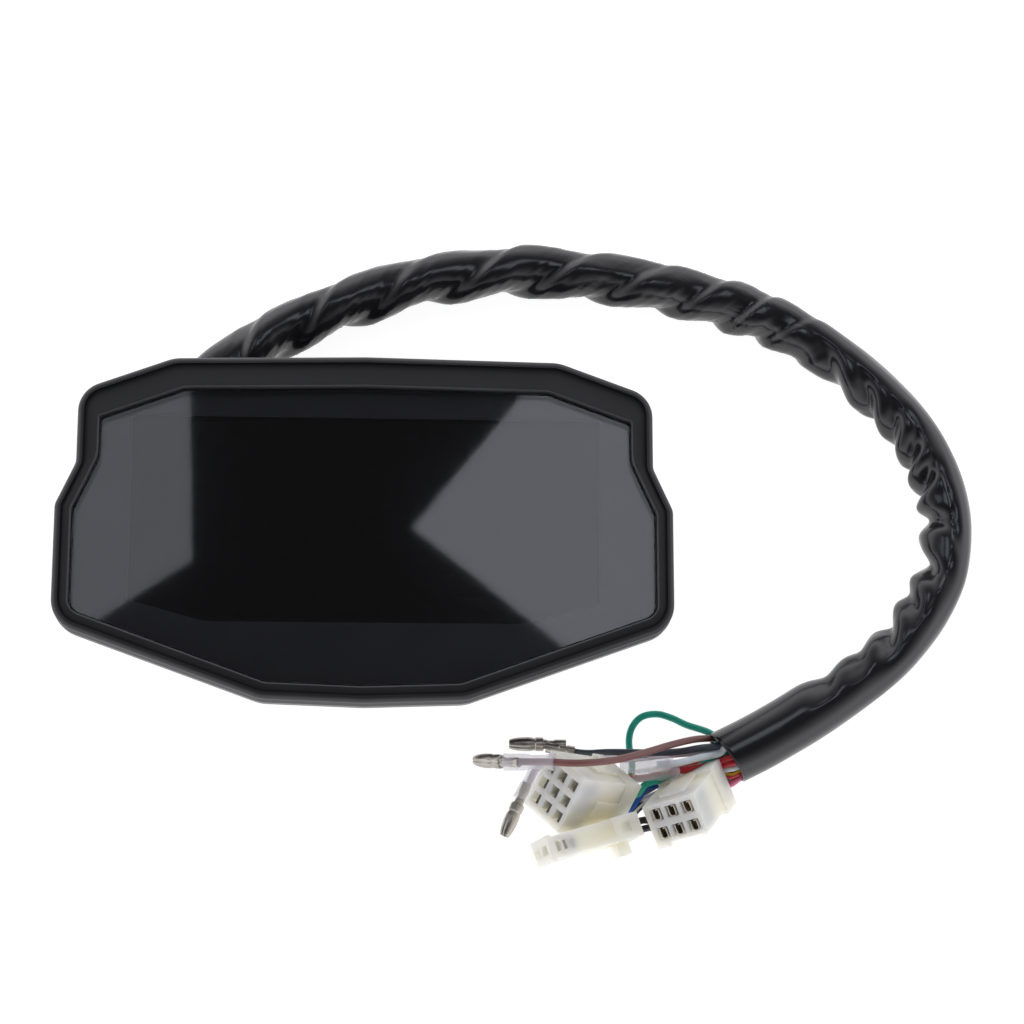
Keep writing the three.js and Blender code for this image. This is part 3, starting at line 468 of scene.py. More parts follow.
# ---------------------------------------------------------------- camera, floor and light
def look_along(obj, forward, down):
    """Turn an object so that it looks along forward with the image's lower side towards down."""
    back = -forward.normalized()
    up = (-down - back * (-down).dot(back)).normalized()
    right = up.cross(back)
    obj.matrix_world = Matrix.Translation(obj.location) @ Matrix((right, up, back)).transposed().to_4x4()


def make_camera():
    data = bpy.data.cameras.new("camera")
    data.lens = 100.44
    data.sensor_width = 36
    camera = bpy.data.objects.new("camera", data)
    bpy.context.scene.collection.objects.link(camera)
    camera.location = Vector((6.4, -189.55, 808.31)) * MM
    look_along(camera, Vector((0.0433286, 0.2426947, -0.9691346)), Vector((0.01115, -0.9701, -0.24244)))
    data.clip_start = 0.01
    bpy.context.scene.camera = camera


def glow(name, strength, colour, gloss):
    """A pale surface lit from within, like a light table, that still takes a little shade."""
    material, _, _, shader = blank(name)
    fill(shader, {
        "Base Color": (*[c * gloss for c in colour], 1), "Roughness": 0.6,
        "Emission Color": (*colour, 1), "Emission Strength": strength, "Specular IOR Level": 0.0,
    })
    return material


def make_floor():
    size = 4000
    floor = solid("floor", [(-size, -size, 0), (size, -size, 0), (size, size, 0), (-size, size, 0)],
                  [(0, 1, 2, 3)], glow("light_table", 0.93, (1.0, 1.0, 1.0), 0.35))
    floor.location.z = -0.0002


LAMP_HEIGHT = 1100
LAMP_TINT = (0.93, 0.965, 1.06)
LAMP_APEX = (22.4, 261.8)  # the corner of the right lamp that comes nearest the middle


def soft_box(name, corner, along, across, turn, radiance):
    """A rectangular lamp over the table from one corner, its first side turned by an angle in degrees."""
    start = Vector(corner)
    first = Vector((math.cos(math.radians(turn)), math.sin(math.radians(turn))))
    second = Vector((first.y, -first.x))
    side, end = first * along, second * across
    panel(name, [start, start + side, start + side + end, start + end], radiance)


def panel(name, corners, radiance):
    """A flat lamp over the table, lit on its whole outline."""
    material, _, _, shader = blank(name)
    fill(shader, {
        "Base Color": (0, 0, 0, 1), "Emission Color": (*LAMP_TINT, 1), "Emission Strength": radiance,
    })
    solid(name, [(*corner, LAMP_HEIGHT) for corner in corners], [(0, 1, 2, 3)], material)


def make_light():
    world = bpy.data.worlds.new("studio")
    bpy.context.scene.world = world
    world.use_nodes = True
    nodes, links = world.node_tree.nodes, world.node_tree.links
    background = nodes["Background"]
    place = nodes.new("ShaderNodeTexCoord")
    split = nodes.new("ShaderNodeSeparateXYZ")
    links.new(place.outputs["Generated"], split.inputs["Vector"])
    ramp = nodes.new("ShaderNodeValToRGB")
    stops = ((0.0, 0.95), (0.3, 0.9), (0.58, 0.42), (0.86, 0.045))
    while len(ramp.color_ramp.elements) < len(stops):
        ramp.color_ramp.elements.new(0.5)
    for element, (position, value) in zip(ramp.color_ramp.elements, stops):
        element.position = position
        element.color = (value * 0.985, value * 0.98, value * 1.04, 1)
    links.new(split.outputs["Z"], ramp.inputs["Fac"])
    links.new(ramp.outputs["Color"], background.inputs["Color"])
    background.inputs["Strength"].default_value = 1.6
    soft_box("right_box", LAMP_APEX, 340, 320, 51.6, 1.75)
    panel("left_box", [(-122.7, 237.7), (-420, 38.8), (-420, 520), (-133, 520)], 1.25)


bpy.context.scene.view_settings.view_transform = "Standard"
make_camera()


# ---------------------------------------------------------------- cords
def spline(points, step):
    """Evenly spaced points along a centripetal curve through the given ones, in millimetres."""
    known = [Vector(p) for p in points]
    padded = [known[0] * 2 - known[1], *known, known[-1] * 2 - known[-2]]
    dense = []
    for i in range(1, len(padded) - 2):
        p0, p1, p2, p3 = padded[i - 1:i + 3]
        t0 = 0.0
        t1 = t0 + (p1 - p0).length ** 0.5
        t2 = t1 + (p2 - p1).length ** 0.5
        t3 = t2 + (p3 - p2).length ** 0.5
        for k in range(24):
            t = t1 + (t2 - t1) * k / 24
            a1 = p0.lerp(p1, (t - t0) / (t1 - t0))
            a2 = p1.lerp(p2, (t - t1) / (t2 - t1))
            a3 = p2.lerp(p3, (t - t2) / (t3 - t2))
            b1 = a1.lerp(a2, (t - t0) / (t2 - t0))
            b2 = a2.lerp(a3, (t - t1) / (t3 - t1))
            dense.append(b1.lerp(b2, (t - t1) / (t2 - t1)))
    dense.append(known[-1])
    lengths = [0.0]
    for a, b in zip(dense, dense[1:]):
        lengths.append(lengths[-1] + (b - a).length)
    count = max(2, round(lengths[-1] / step))
    even, at = [], 0
    for k in range(count + 1):
        want = lengths[-1] * k / count
        while at < len(lengths) - 2 and lengths[at + 1] < want:
            at += 1
        span = lengths[at + 1] - lengths[at]
        even.append(dense[at].lerp(dense[at + 1], (want - lengths[at]) / span if span else 0))
    return even, lengths[-1]


def tube(name, points, radius_at, sides, material, step, upward=(0, 0, 1), inner=None):
    """A tube round a smooth curve. radius_at(distance, angle, total) is its radius, and inner a list of
    (radius, depth) rings that hollow its far end. Returns the object, its centre points and its length."""
    def ring(centre, radius):
        return [
            centre + (normal * math.cos(turn) + side * math.sin(turn)) * radius(turn)
            for turn in turns(sides)
        ]

    centres, total = spline(points, step)
    normal = Vector(upward)
    rings, travelled = [], 0.0
    for i, centre in enumerate(centres):
        before, after = centres[max(i - 1, 0)], centres[min(i + 1, len(centres) - 1)]
        tangent = (after - before).normalized()
        normal = (normal - tangent * normal.dot(tangent)).normalized()
        side = tangent.cross(normal)
        if i:
            travelled += (centre - centres[i - 1]).length
        rings.append(ring(centre, lambda turn: radius_at(travelled, turn, total)))
    for radius, depth in inner or ():
        rings.append(ring(centres[-1] - tangent * depth, lambda turn: radius))
    for point in [point for each in rings for point in each]:
        point.z = max(point.z, TABLE_CLEARANCE)
    piece = lofted(name, rings, material, angle=60)
    coordinates = piece.data.uv_layers.new(name="tube")
    for polygon in piece.data.polygons:
        columns = [piece.data.loops[k].vertex_index % sides for k in polygon.loop_indices]
        wraps = max(columns) - min(columns) > sides / 2
        for k, column in zip(polygon.loop_indices, columns):
            row = piece.data.loops[k].vertex_index // sides
            whole = column + (sides if wraps and column < sides / 2 else 0)
            coordinates.data[k].uv = (whole / sides, row * step * MM)
    return piece, [c * MM for c in centres], total * MM


SLEEVE_ROUTE = [
    (-53, 21.6, 7.6), (-53, 30, 7.6), (-51.3, 40, 7.6), (-46, 49.5, 7.6), (-36, 57.6, 7.6),
    (-25, 64.8, 7.6), (-13.4, 70.8, 7.6), (-1.5, 75.3, 7.6), (9.2, 79.3, 7.6), (20, 82, 7.6),
    (30.5, 83.3, 7.6), (40.3, 84.2, 7.6), (50.1, 84.3, 7.6), (59.3, 83.6, 7.6), (76.7, 81.8, 7.6),
    (93.8, 78.1, 7.6), (111, 73, 7.6), (128, 65.2, 7.6), (143.4, 54, 7.6), (157, 39.8, 7.6),
    (165, 25.4, 7.6), (168.9, 9, 7.6), (167.4, -4.6, 7.6), (162, -16, 7.6), (154, -27, 7.8),
    (143, -36.8, 8), (131, -44.8, 8.2), (119, -52, 8.4), (111.2, -56.4, 8.5), (103.7, -60.2, 8.5),
]
SLEEVE_RADIUS = 6.9
MOUTH_RADIUS = 8.2
TWIST_END = 222  # distance along the sleeve at which the twist dies out
CREASES = (30, 53, 78, 104, 129, 152, 174, 191, 204, 218)  # where the fold passes the sleeve's inner side
INNER_SIDE = math.pi / 2  # the angle that faces the middle of the harness's loop
# distance along, depth, half length and slant of each buckle on the inside of the bend
BUCKLES = (
    (231, 1.8, 6.0, 0.8), (246, 2.1, 5.4, 0.9), (257, 1.8, 4.6, 0.7), (267, 2.6, 4.2, 0.6),
    (276, 3.2, 4.0, 0.5), (286, 2.4, 4.0, -0.2), (301, 3.0, 5.2, -0.5), (313, 1.2, 4.2, -0.7),
    (325, 2.3, 5.2, -0.8), (338, 1.0, 5.0, -0.7), (351, 1.4, 6.5, -0.6),
)


def ease(low, high, value):
    t = min(1.0, max(0.0, (value - low) / (high - low)))
    return t * t * (3 - 2 * t)


def fold_turn(distance):
    """How many turns the spiral fold has made by a distance along the sleeve."""
    for k in range(len(CREASES) - 1):
        if distance < CREASES[k + 1]:
            return k + (distance - CREASES[k]) / (CREASES[k + 1] - CREASES[k])
    return len(CREASES) - 1 + (distance - CREASES[-1]) / 14


def sleeve_radius(distance, turn, total):
    """Two folds that wind round the sleeve together, then buckles on the inside of the bend."""
    facing = math.cos(turn - INNER_SIDE)
    twist = 1 - ease(TWIST_END - 24, TWIST_END + 12, distance)
    winding = fold_turn(distance) + (turn - INNER_SIDE) / math.pi
    phase = winding % 1
    pillow = ease(0, 0.2, phase) * (1 - ease(0.28, 1, phase))
    radius = SLEEVE_RADIUS + twist * (1.15 + 0.5 * facing) * (1.35 * pillow - 0.62)
    around = Vector((math.cos(2 * math.pi * winding), math.sin(2 * math.pi * winding), 0))
    crease = noise.noise(around * 1.1 + Vector((0, 0, distance / 24)))
    radius += twist * (0.15 + 0.05 * facing) * ease(0.2, 0, abs(crease))
    swell = noise.noise(Vector((distance / 19, math.cos(turn) * 1.1, math.sin(turn) * 1.1)))
    crinkle = noise.noise(Vector((distance / 7, math.cos(turn) * 1.9 + 7, math.sin(turn) * 1.9)))
    radius += twist * (0.7 * swell + 0.1 * crinkle)
    for centre, depth, half, slant in BUCKLES:
        along = (distance - centre - slant * 6.5 * (turn - INNER_SIDE)) / half
        if abs(along) < 3:
            reach = ease(-0.5, 0.85, facing)
            lips = 0.22 * math.exp(-((abs(along) - 1.3) ** 2) * 2)
            radius -= depth * reach * (math.exp(-2.6 * along ** 2) - lips)
    bend = ease(218, 240, distance) * (1 - ease(340, 362, distance))
    radius += bend * (0.25 + 0.5 * swell + 0.4 * crinkle * ease(-0.6, 0.5, facing))
    calm = ease(335, 368, distance)
    radius += calm * (MOUTH_RADIUS - SLEEVE_RADIUS + 0.15 * swell)
    return radius - (1 - ease(0, 10, distance))


def make_sleeve():
    wall = 0.9
    bore = MOUTH_RADIUS - wall
    rim = [(MOUTH_RADIUS - 0.3, -0.25), (bore + 0.3, -0.25), (bore, 0.15)]
    hollow = [(bore, depth) for depth in (1, 3, 8, 16, 24)]
    floor = [(bore * share, 24) for share in (0.66, 0.33, 0.02)]
    sleeve, path, length = tube(
        "sleeve", SLEEVE_ROUTE, sleeve_radius, 96, VINYL, 0.8, inner=rim + hollow + floor
    )
    for vertex in sleeve.data.vertices:
        point = vertex.co / MM - MOUTH
        share = ease(-14, 0, point.dot(OUTWARD)) if point.length < 20 else 0
        vertex.co += OUTWARD * share * (0.6 - 1.5 * point.dot(ACROSS) / MOUTH_RADIUS) * MM
    finish_piece(sleeve, stands_for=["harness_sleeve"])


MOUTH = Vector(SLEEVE_ROUTE[-1])
OUTWARD = (MOUTH - Vector(SLEEVE_ROUTE[-3])).normalized()
ACROSS = Vector((0.449, -0.893, 0))
LEAD_HIDDEN = 22  # length of each lead that is modelled inside the sleeve


def from_sleeve(across, height, *points):
    """A lead's route: inside the sleeve, out through its mouth at an offset, and on through points."""
    offset = ACROSS * across + Vector((0, 0, height))
    inside = [MOUTH - OUTWARD * reach + offset * share for reach, share in ((LEAD_HIDDEN, 0.75), (9, 0.9))]
    return [*inside, MOUTH + offset, *points]


def aimed(at, heading, elevation, roll):
    """A place whose +Z is aimed by heading and elevation, then rolled about it, in degrees."""
    turn, rise = math.radians(heading), math.radians(elevation)
    forward = Vector((math.cos(rise) * math.cos(turn), math.cos(rise) * math.sin(turn), math.sin(rise)))
    level = Vector((0, 0, 1)).cross(forward).normalized()
    frame_of = Matrix((level, forward.cross(level), forward)).transposed().to_4x4()
    return Matrix.Translation(at) @ frame_of @ Matrix.Rotation(math.radians(roll), 4, "Z")


NINE_PIN = aimed((61.3, -72.6, 16.7), 181.7, 44.7, 51.6)
SIX_PIN = aimed((91.2, -74.7, 16), 231.8, 51, 56.4)
TWO_PIN = aimed((61.7, -86.4, 25.4), 199.1, 26.3, 0)
NINE_HALF, SIX_HALF, TWO_HALF = 11.5, 12, 16
NINE_PITCH = 4.9
SIX_PITCH = (4.8, 5.6)


NINE, SIX, TWO = "connector_nine_way", "connector_six_way", "connector_two_way"
# by connector: its place, half the length of its housing, and the pitch of its contacts
BACKS = {
    NINE: (NINE_PIN, NINE_HALF, (NINE_PITCH, NINE_PITCH)),
    SIX: (SIX_PIN, SIX_HALF, SIX_PITCH),
    TWO: (TWO_PIN, TWO_HALF, (1, 1)),
}


def behind(end, column, row):
    """The last points of a lead that enters the back of a connector at a contact's place."""
    place, half, pitch = BACKS[end]
    return [place @ Vector((column * pitch[0], row * pitch[1], -half - reach)) for reach in (4.5, 1.5, -2)]


def strand(colour, mouth, points, end, contact=None, nodes=()):
    """Colour, route, far end and the CAD nodes that the lead stands for. mouth is its offset in the
    sleeve's mouth, and contact its place in a connector."""
    last = behind(end, *contact) if contact else []
    return colour, from_sleeve(*mouth, *points, *last), end, nodes


LEADS = {
    "lead_green_loop": strand("green", (-5.6, -2.6), [
        (99, -53.2, 6.5), (92, -50.2, 4), (88.4, -48.2, 2.6), (84, -46.9, 2), (79.6, -47.8, 2),
        (77, -50.6, 2), (76, -54, 2), (76.2, -58, 1.8), (76.8, -62, 2.2), (76, -65.4, 5),
    ], NINE, (0, 1), ["green_lead"]),
    "lead_brown": strand("brown", (-6.2, 0.6), [
        (99.8, -54.9, 9.2), (94, -55.8, 12), (87, -58, 16.2), (79, -61.2, 22), (70, -64.4, 28),
        (61, -66, 32.3), (56, -66.1, 32.6), (52.8, -65.7, 31.4), (47, -65.3, 29.1), (43.8, -65.1, 27.8),
    ], "bullet_1", nodes=["brown_lead"]),
    "lead_grey": strand("grey", (-4.3, 2.6), [
        (100.8, -57.4, 11.6), (95.2, -58.3, 12), (89.5, -59.2, 11.2), (82.5, -59.4, 10),
        (75.6, -59.1, 8.4), (69, -58.8, 6.4), (63.8, -58.8, 4.6), (59.5, -58.2, 3.5), (56, -57.5, 3.4),
    ], "bullet_2", nodes=["grey_lead"]),
    "lead_lilac": strand("lilac", (-2.9, 0.2), [
        (101.3, -58.4, 8.8), (92, -59.2, 8.4), (84, -59.8, 7.2), (77, -60.4, 5.4), (70, -60.2, 2.4),
        (62, -59.8, 1.6), (54, -60.6, 1.8), (49.3, -63.3, 2.8), (47.4, -67, 2.9),
    ], "bullet_3", nodes=["lilac_lead"]),
    "lead_white": strand("white", (-2.6, 4), [
        (101.3, -59.4, 11.8), (94.6, -61.4, 14), (88.4, -63.2, 16), (82.6, -63.8, 16.4),
    ], "receptacle_1", nodes=["white_lead"]),
    "lead_orange": strand("orange", (-2.4, -3), [
        (96, -61, 6), (89, -63.4, 6.6), (83.5, -65.6, 9), (78.5, -66.4, 7.6),
    ], NINE, (-1, 1)),
    "lead_red": strand("red", (0.7, 3.6), [
        (101.5, -61.7, 11), (95.6, -63.6, 11.4), (91, -64.6, 12.8), (86.4, -65, 13.2),
    ], "receptacle_2"),
    "lead_green": strand("green", (-0.9, 2), [
        (100.4, -60.4, 10.6), (94.1, -64, 10.4), (89.2, -66.3, 10), (83.6, -67.4, 11),
        (79.6, -68.8, 12.6),
    ], NINE, (1, 1), ["leads_to_9_pin"]),
    "lead_lilac_long": strand("lilac", (0.9, 1.6), [
        (101, -62.2, 9.6), (95.2, -65.2, 9.2), (90.2, -67.9, 8.6), (85, -70, 8), (80.4, -72.2, 8.2),
    ], NINE, (0, -1)),
    "lead_blue": strand("blue", (0.6, -1.2), [
        (99.4, -62.4, 6.2), (93.6, -65, 6.4), (88.3, -66.9, 6.8), (83, -68.2, 7.4), (79.6, -70, 9.6),
    ], NINE, (1, 0)),
    "lead_black_white": strand("black_white", (1.6, -3.4), [
        (98.6, -64, 4), (92.6, -66.6, 4), (87, -68.6, 4.6), (82.8, -71, 6.4), (78.6, -74.4, 8),
    ], NINE, (1, -1)),
    "lead_black": strand("black", (-1, -5.4), [
        (98, -61.8, 2.2), (91, -64.4, 2), (84.6, -67, 2.2), (78.6, -70.4, 3.2),
    ], NINE, (0, 0)),
    "lead_white_short": strand("white", (3.6, 1.4), [
        (103.2, -63.8, 9.6),
    ], SIX, (0, 0.5), ["leads_to_6_pin"]),
    "lead_red_yellow": strand("red_yellow", (5.2, 0.2), [(104, -65.6, 8.8)], SIX, (1, 0.5)),
    "lead_pink": strand("pink", (6.6, -1.4), [(104.6, -67.6, 7.2)], SIX, (1, -0.5)),
    "lead_red_short": strand("red", (2.3, 3), [(102.4, -62.6, 10.8)], SIX, (-1, 0.5)),
    "lead_black_short": strand("black", (4.6, -3.2), [(103.2, -66, 4.4)], SIX, (0, -0.5)),
    "lead_two_way_a": strand("black", (2.6, -5.6), [
        (97, -65.8, 1.6), (91, -67.4, 1.4), (86.4, -69, 2), (84, -72.4, 5), (83, -76, 9.4),
        (80.4, -79, 13.2),
    ], TWO, (-1.1, -0.4), ["leads_to_2_pin"]),
    "lead_two_way_b": strand("black", (4.6, -5.4), [
        (98.6, -67.6, 1.4), (92.4, -69.2, 1.4), (88, -71, 1.8), (85.6, -74, 4.6), (84.4, -77.6, 8.4),
        (81.4, -80.8, 12.6),
    ], TWO, (1.3, -0.4)),
}


def make_leads(ends):
    """ends: the pieces on each far end, by name; each is looked up, and then not used."""
    for name, (colour, route, end, nodes) in LEADS.items():
        lead, path, length = tube(
            name, route, lambda *_: LEAD_RADIUS, 16, INSULATION[colour], 1.0, upward=(0.2, 0.3, 1)
        )
        finish_piece(lead, stands_for=nodes)
        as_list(ends[end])


# ---------------------------------------------------------------- connectors
def housing(name, blocks, cutters, edge=0.3):
    """Blocks joined into one moulding, with pockets cut out and every edge filleted."""
    whole = block(name, *blocks[0])
    for low, high in blocks[1:]:
        boolean(whole, block("part", low, high), "UNION")
    if cutters:
        boolean(whole, merge("pockets", [block("pocket", low, high) for low, high in cutters]))
    return rounded(whole, edge, 2)


def grid(columns, rows, pitch_x, pitch_y):
    return [
        ((column - (columns - 1) / 2) * pitch_x, (row - (rows - 1) / 2) * pitch_y)
        for column in range(columns)
        for row in range(rows)
    ]


SOCKET = 3.5
SOCKET_DEPTH = 8


def sockets(places, front, half=SOCKET / 2):
    low, high = front - SOCKET_DEPTH, front + 1
    return [((x - half, y - half, low), (x + half, y + half, high)) for x, y in places]


def strip(name, outline, thickness, low, high, material):
    """Sheet metal bent along an outline of (x, y) points, standing from low to high along Z."""
    rings = []
    for z in (low, low + 0.15, high - 0.15, high):
        trim = 0.1 if z in (low, high) else 0
        half = thickness / 2 - trim
        sides = ([], [])
        for i, point in enumerate(outline):
            before, after = outline[max(i - 1, 0)], outline[min(i + 1, len(outline) - 1)]
            along = (Vector(after) - Vector(before)).normalized()
            across = Vector((-along.y, along.x))
            sides[0].append((*(Vector(point) + across * half), z))
            sides[1].append((*(Vector(point) - across * half), z))
        rings.append(sides[0] + sides[1][::-1])
    return lofted(name, rings, material)


def blade(x, y, front):
    low, high = y - 1.35, y + 1.45
    outline = [(x + 0.75, low), (x + 0.75, low + 0.9), (x + 0.8, high - 0.9), (x + 0.8, high)]
    return strip("blade", outline, 0.95, front - 7.5, front - 0.4, SHADED_CONTACT)


def receptacle(x, y, front):
    """A folded receptacle: a back, two sides and two curled lips round a slot."""
    outline = [
        (x + 0.25, y + 1.25), (x + 0.75, y + 1.5), (x + 1.05, y + 1.1), (x + 1.05, y - 1.0),
        (x + 0.65, y - 1.5), (x - 0.2, y - 1.55), (x - 0.75, y - 1.1), (x - 0.85, y), (x - 0.8, y + 1.5),
    ]
    return strip("receptacle", outline, 0.4, front - 7.5, front - 0.1, TIN)


def make_nine_way():
    w, h, half = 7.8, 8.7, NINE_HALF
    blocks = [
        ((-w, -h, -half), (w, h, half)),
        ((-w - 0.8, -h - 0.5, -half), (w + 0.7, h + 0.6, -half + 5)),
        ((w - 1, -2.6, -half + 5), (w + 0.7, 2.6, half - 9)),
        ((-3.2, h - 1, -half + 4), (3.2, h + 0.9, half - 9)),
    ]
    places = grid(3, 3, NINE_PITCH, NINE_PITCH)
    back = [((x - 1.3, y - 1.3, -half - 1), (x + 1.3, y + 1.3, -half + 5)) for x, y in places]
    shell = housing("connector_nine_way", blocks, sockets(places, half, 1.5) + back)
    blades = merge("blades_nine_way", [blade(x, y, half) for x, y in places], SHADED_CONTACT)
    return finish_connector(shell, blades, NINE_PIN, "connector_9_pin")


def make_six_way():
    w, h, half = 8.1, 5.85, SIX_HALF
    blocks = [
        ((-w, -h, -half), (w, h, half)),
        ((-w - 0.3, -h - 1.2, -half), (w + 0.5, h + 0.9, -half + 8)),
        ((-3.6, h - 1, -half), (3.6, h + 0.9, half - 3.5)),
        ((-w, -h - 1.3, half - 1.8), (-w + 4.2, -h + 1, half)),
        ((1.6, -h - 3, -4.4), (3.4, -h + 1, -3)),
        ((1.6, -h - 3, 2.2), (3.4, -h + 1, 3.6)),
        ((1.6, -h - 3.4, -4.4), (3.4, -h - 2.2, 3.6)),
    ]
    places = grid(3, 2, *SIX_PITCH)
    back = [((x - 1.5, y - 1.5, -half - 1), (x + 1.5, y + 1.5, -half + 5)) for x, y in places]
    shell = housing("connector_six_way", blocks, sockets(places, half) + back)
    contacts = merge("receptacles_six_way", [receptacle(x, y, half) for x, y in places], TIN)
    return finish_connector(shell, contacts, SIX_PIN, "connector_6_pin")


def make_two_way():
    w, h, half = 3.2, 4.2, TWO_HALF
    front = half - 1.2
    blocks = [
        ((-w, -h, -half), (w, h, front)),
        ((-w - 0.5, -h - 0.4, front - 1.6), (w + 0.5, h + 0.5, front)),
        ((-w - 0.3, -h, -half), (w + 0.2, h + 0.35, -half + 9)),
        ((w - 1, -2, -half + 4), (w + 4, 2, -half + 8)),
        ((-1.9, h - 1, half - 8), (1.9, h + 0.3, half - 2.8)),
    ]
    places = grid(1, 2, 4, 4)
    cutters = sockets(places, half - 2, 1.3)
    cutters += [((-1.3, h - 0.6, half - z - 1.3), (1.3, h + 1, half - z)) for z in (3.6, 5.9)]
    cutters += [((-1.5, h - 0.25, -half + 3.2), (1.5, h + 1, -half + 6.8))]
    cutters += [((-2.1, -2.2, -half - 1), (2.1, 1.4, -half + 4))]
    shell = housing("connector_two_way", blocks, cutters, 0.25)
    contacts = merge("blades_two_way", [
        strip("blade", [(-0.9, y), (-0.3, y), (0.3, y), (0.9, y)], 0.5, half - 11.5, half - 8.6, TIN)
        for _, y in places
    ], TIN)
    return finish_connector(shell, contacts, TWO_PIN, "connector_2_pin")


def finish_connector(shell, contacts, place, node):
    placed(shell, place)
    placed(contacts, place)
    finish_piece(shell, NYLON, stands_for=[node])
    finish_piece(contacts)
    return [shell, contacts]


# ---------------------------------------------------------------- bullets and clear sleeves
def pointing(start, end):
    """A place at start whose +Z runs towards end, and the distance between them."""
    along = Vector(end) - Vector(start)
    turn = along.to_track_quat("Z", "Y").to_matrix().to_4x4()
    return Matrix.Translation(start) @ turn, along.length


# radius and share of the length: crimp barrel, neck, stop ring, waist, swelling body, rolled open tip
BULLET_PROFILE = (
    (0, -0.62), (1.35, -0.62), (1.4, -0.6), (1.4, -0.3), (1.15, -0.26), (1.15, -0.12), (1.35, -0.08),
    (1.45, 0.01), (1.9, 0.03), (2.0, 0.07), (2.0, 0.24), (1.78, 0.27), (1.78, 0.31), (1.98, 0.36),
    (2.06, 0.46), (2.04, 0.6), (1.93, 0.74), (1.7, 0.87), (1.42, 0.97), (1.28, 1.0), (1.08, 0.99),
    (0.95, 0.93), (0.9, 0.8), (0, 0.79),
)
CRIMP_PROFILE = ((0, 0), (1.2, 0), (1.6, 0.2), (1.6, 2.2), (1.25, 2.6), (1.3, 4.4), (1.6, 4.8))
SEAM_WIDTH = 0.11  # of the seam's groove, in radians
SEAM_DEPTH = 0.3


def make_bullet(name, start, end, node, seam):
    place, length = pointing(start, end)
    piece = lathe(name, [(r, z * length) for r, z in BULLET_PROFILE], TIN, sides=56)
    for vertex in piece.data.vertices:
        x, y, z = (value / MM for value in vertex.co)
        radius = math.hypot(x, y)
        if radius < 1.2:
            continue
        off = abs((math.atan2(y, x) - seam + math.pi) % (2 * math.pi) - math.pi)
        if off < 2 * SEAM_WIDTH:
            factor = 1 - SEAM_DEPTH * ease(2 * SEAM_WIDTH, SEAM_WIDTH * 0.5, off) / radius
            vertex.co.x *= factor
            vertex.co.y *= factor
    placed(piece, place)
    return finish_piece(piece, stands_for=[node])


def make_clear_sleeve(name, points, radius_at, nodes):
    piece, _, _ = tube(name, points, radius_at, 32, CLEAR, 0.5, inner=[(1.35, 0), (1.3, 0.6), (1.25, 2)])
    return finish_piece(piece, stands_for=nodes)


def wire_end_sleeve(distance, turn, total):
    """Loose over the crimp, then drawn in a little over the lead."""
    loose = 2.45 - 0.35 * ease(0, total * 0.28, distance) + 0.35 * ease(total * 0.45, total * 0.6, distance)
    mouth = 0.12 * math.exp(-distance) + 0.12 * math.exp(distance - total)
    return loose + mouth + 0.1 * math.cos(2 * turn)


def receptacle_shape(distance, turn, total):
    """A flat receptacle's soft cover: a ring at two thirds, and a body that is wider than it is thick."""
    ring = 0.3 * math.exp(-((distance - total * 0.56) / 0.5) ** 2)
    body = 2.2 + 0.3 * ease(total * 0.5, total * 0.65, distance) - 0.7 * ease(total - 1.6, total, distance)
    body -= 0.5 * (1 - ease(0, 1.4, distance))
    return body + ring + 0.3 * math.cos(2 * turn)


# by far end: the bullet's start and end, its CAD node and its seam's angle
BULLETS = {
    "bullet_1": ((38.7, -64.8, 25.9), (31.4, -63.5, 20), "bullet_terminal_1", 1.2),
    "bullet_2": ((51.6, -56.1, 3.2), (41.6, -56.1, 3.2), "bullet_terminal_2", 0.9),
    "bullet_3": ((44.3, -73, 2.8), (40.2, -82.3, 2.8), "bullet_terminal_3", 2.2),
}
# by far end: the clear sleeve's name, route, shape and CAD nodes
CLEAR_SLEEVES = {
    "bullet_1": ("bullet_sleeve_1_clear", [
        (52.9, -65.7, 31.3), (46, -65.3, 28.7), (39.4, -65, 26.3),
    ], wire_end_sleeve, ["bullet_sleeve_1"]),
    "bullet_3": ("bullet_sleeve_3_clear", [
        (49.4, -63.2, 2.9), (47, -67.8, 2.9), (44.9, -71.9, 2.9),
    ], wire_end_sleeve, ["bullet_sleeve_3"]),
    "receptacle_1": ("receptacle_cover_1", [
        (72.2, -64.7, 17.4), (79.6, -64.1, 17), (86.9, -63.4, 16.1),
    ], receptacle_shape, ["receptacle_sleeve"]),
    "receptacle_2": ("receptacle_cover_2", [
        (76, -66.9, 13.4), (82.5, -65.8, 13.3), (89, -65, 13),
    ], receptacle_shape, []),
}


def make_ends():
    """Every piece that a lead ends in, by the far end's name."""
    ends = {
        NINE: make_nine_way(),
        SIX: make_six_way(),
        TWO: make_two_way(),
    }
    for end in sorted({*BULLETS, *CLEAR_SLEEVES}):
        ends[end] = []
        if end in BULLETS:
            ends[end].append(make_bullet(end, *BULLETS[end]))
        if end in CLEAR_SLEEVES:
            ends[end].append(make_clear_sleeve(*CLEAR_SLEEVES[end]))
    crimp_start, crimp_end = (60.3, -58.3, 3.5), (52.1, -56.9, 3.3)
    place, length = pointing(crimp_start, crimp_end)
    profile = [*CRIMP_PROFILE, (1.6, length), (0, length)]
    crimp = placed(lathe("bullet_2_crimp", profile, TIN, sides=32), place)
    finish_piece(crimp, stands_for=["bullet_crimp_2"])
    ends["bullet_2"].append(crimp)
    return ends


# ---------------------------------------------------------------- case
def quarter_round(radius, steps):
    """Offsets (across, along) of a quarter circle that starts a radius away and ends on the edge."""
    angles = [math.pi / 2 * k / steps for k in range(steps + 1)]
    return [(radius * (1 - math.sin(a)), radius * (1 - math.cos(a))) for a in angles]


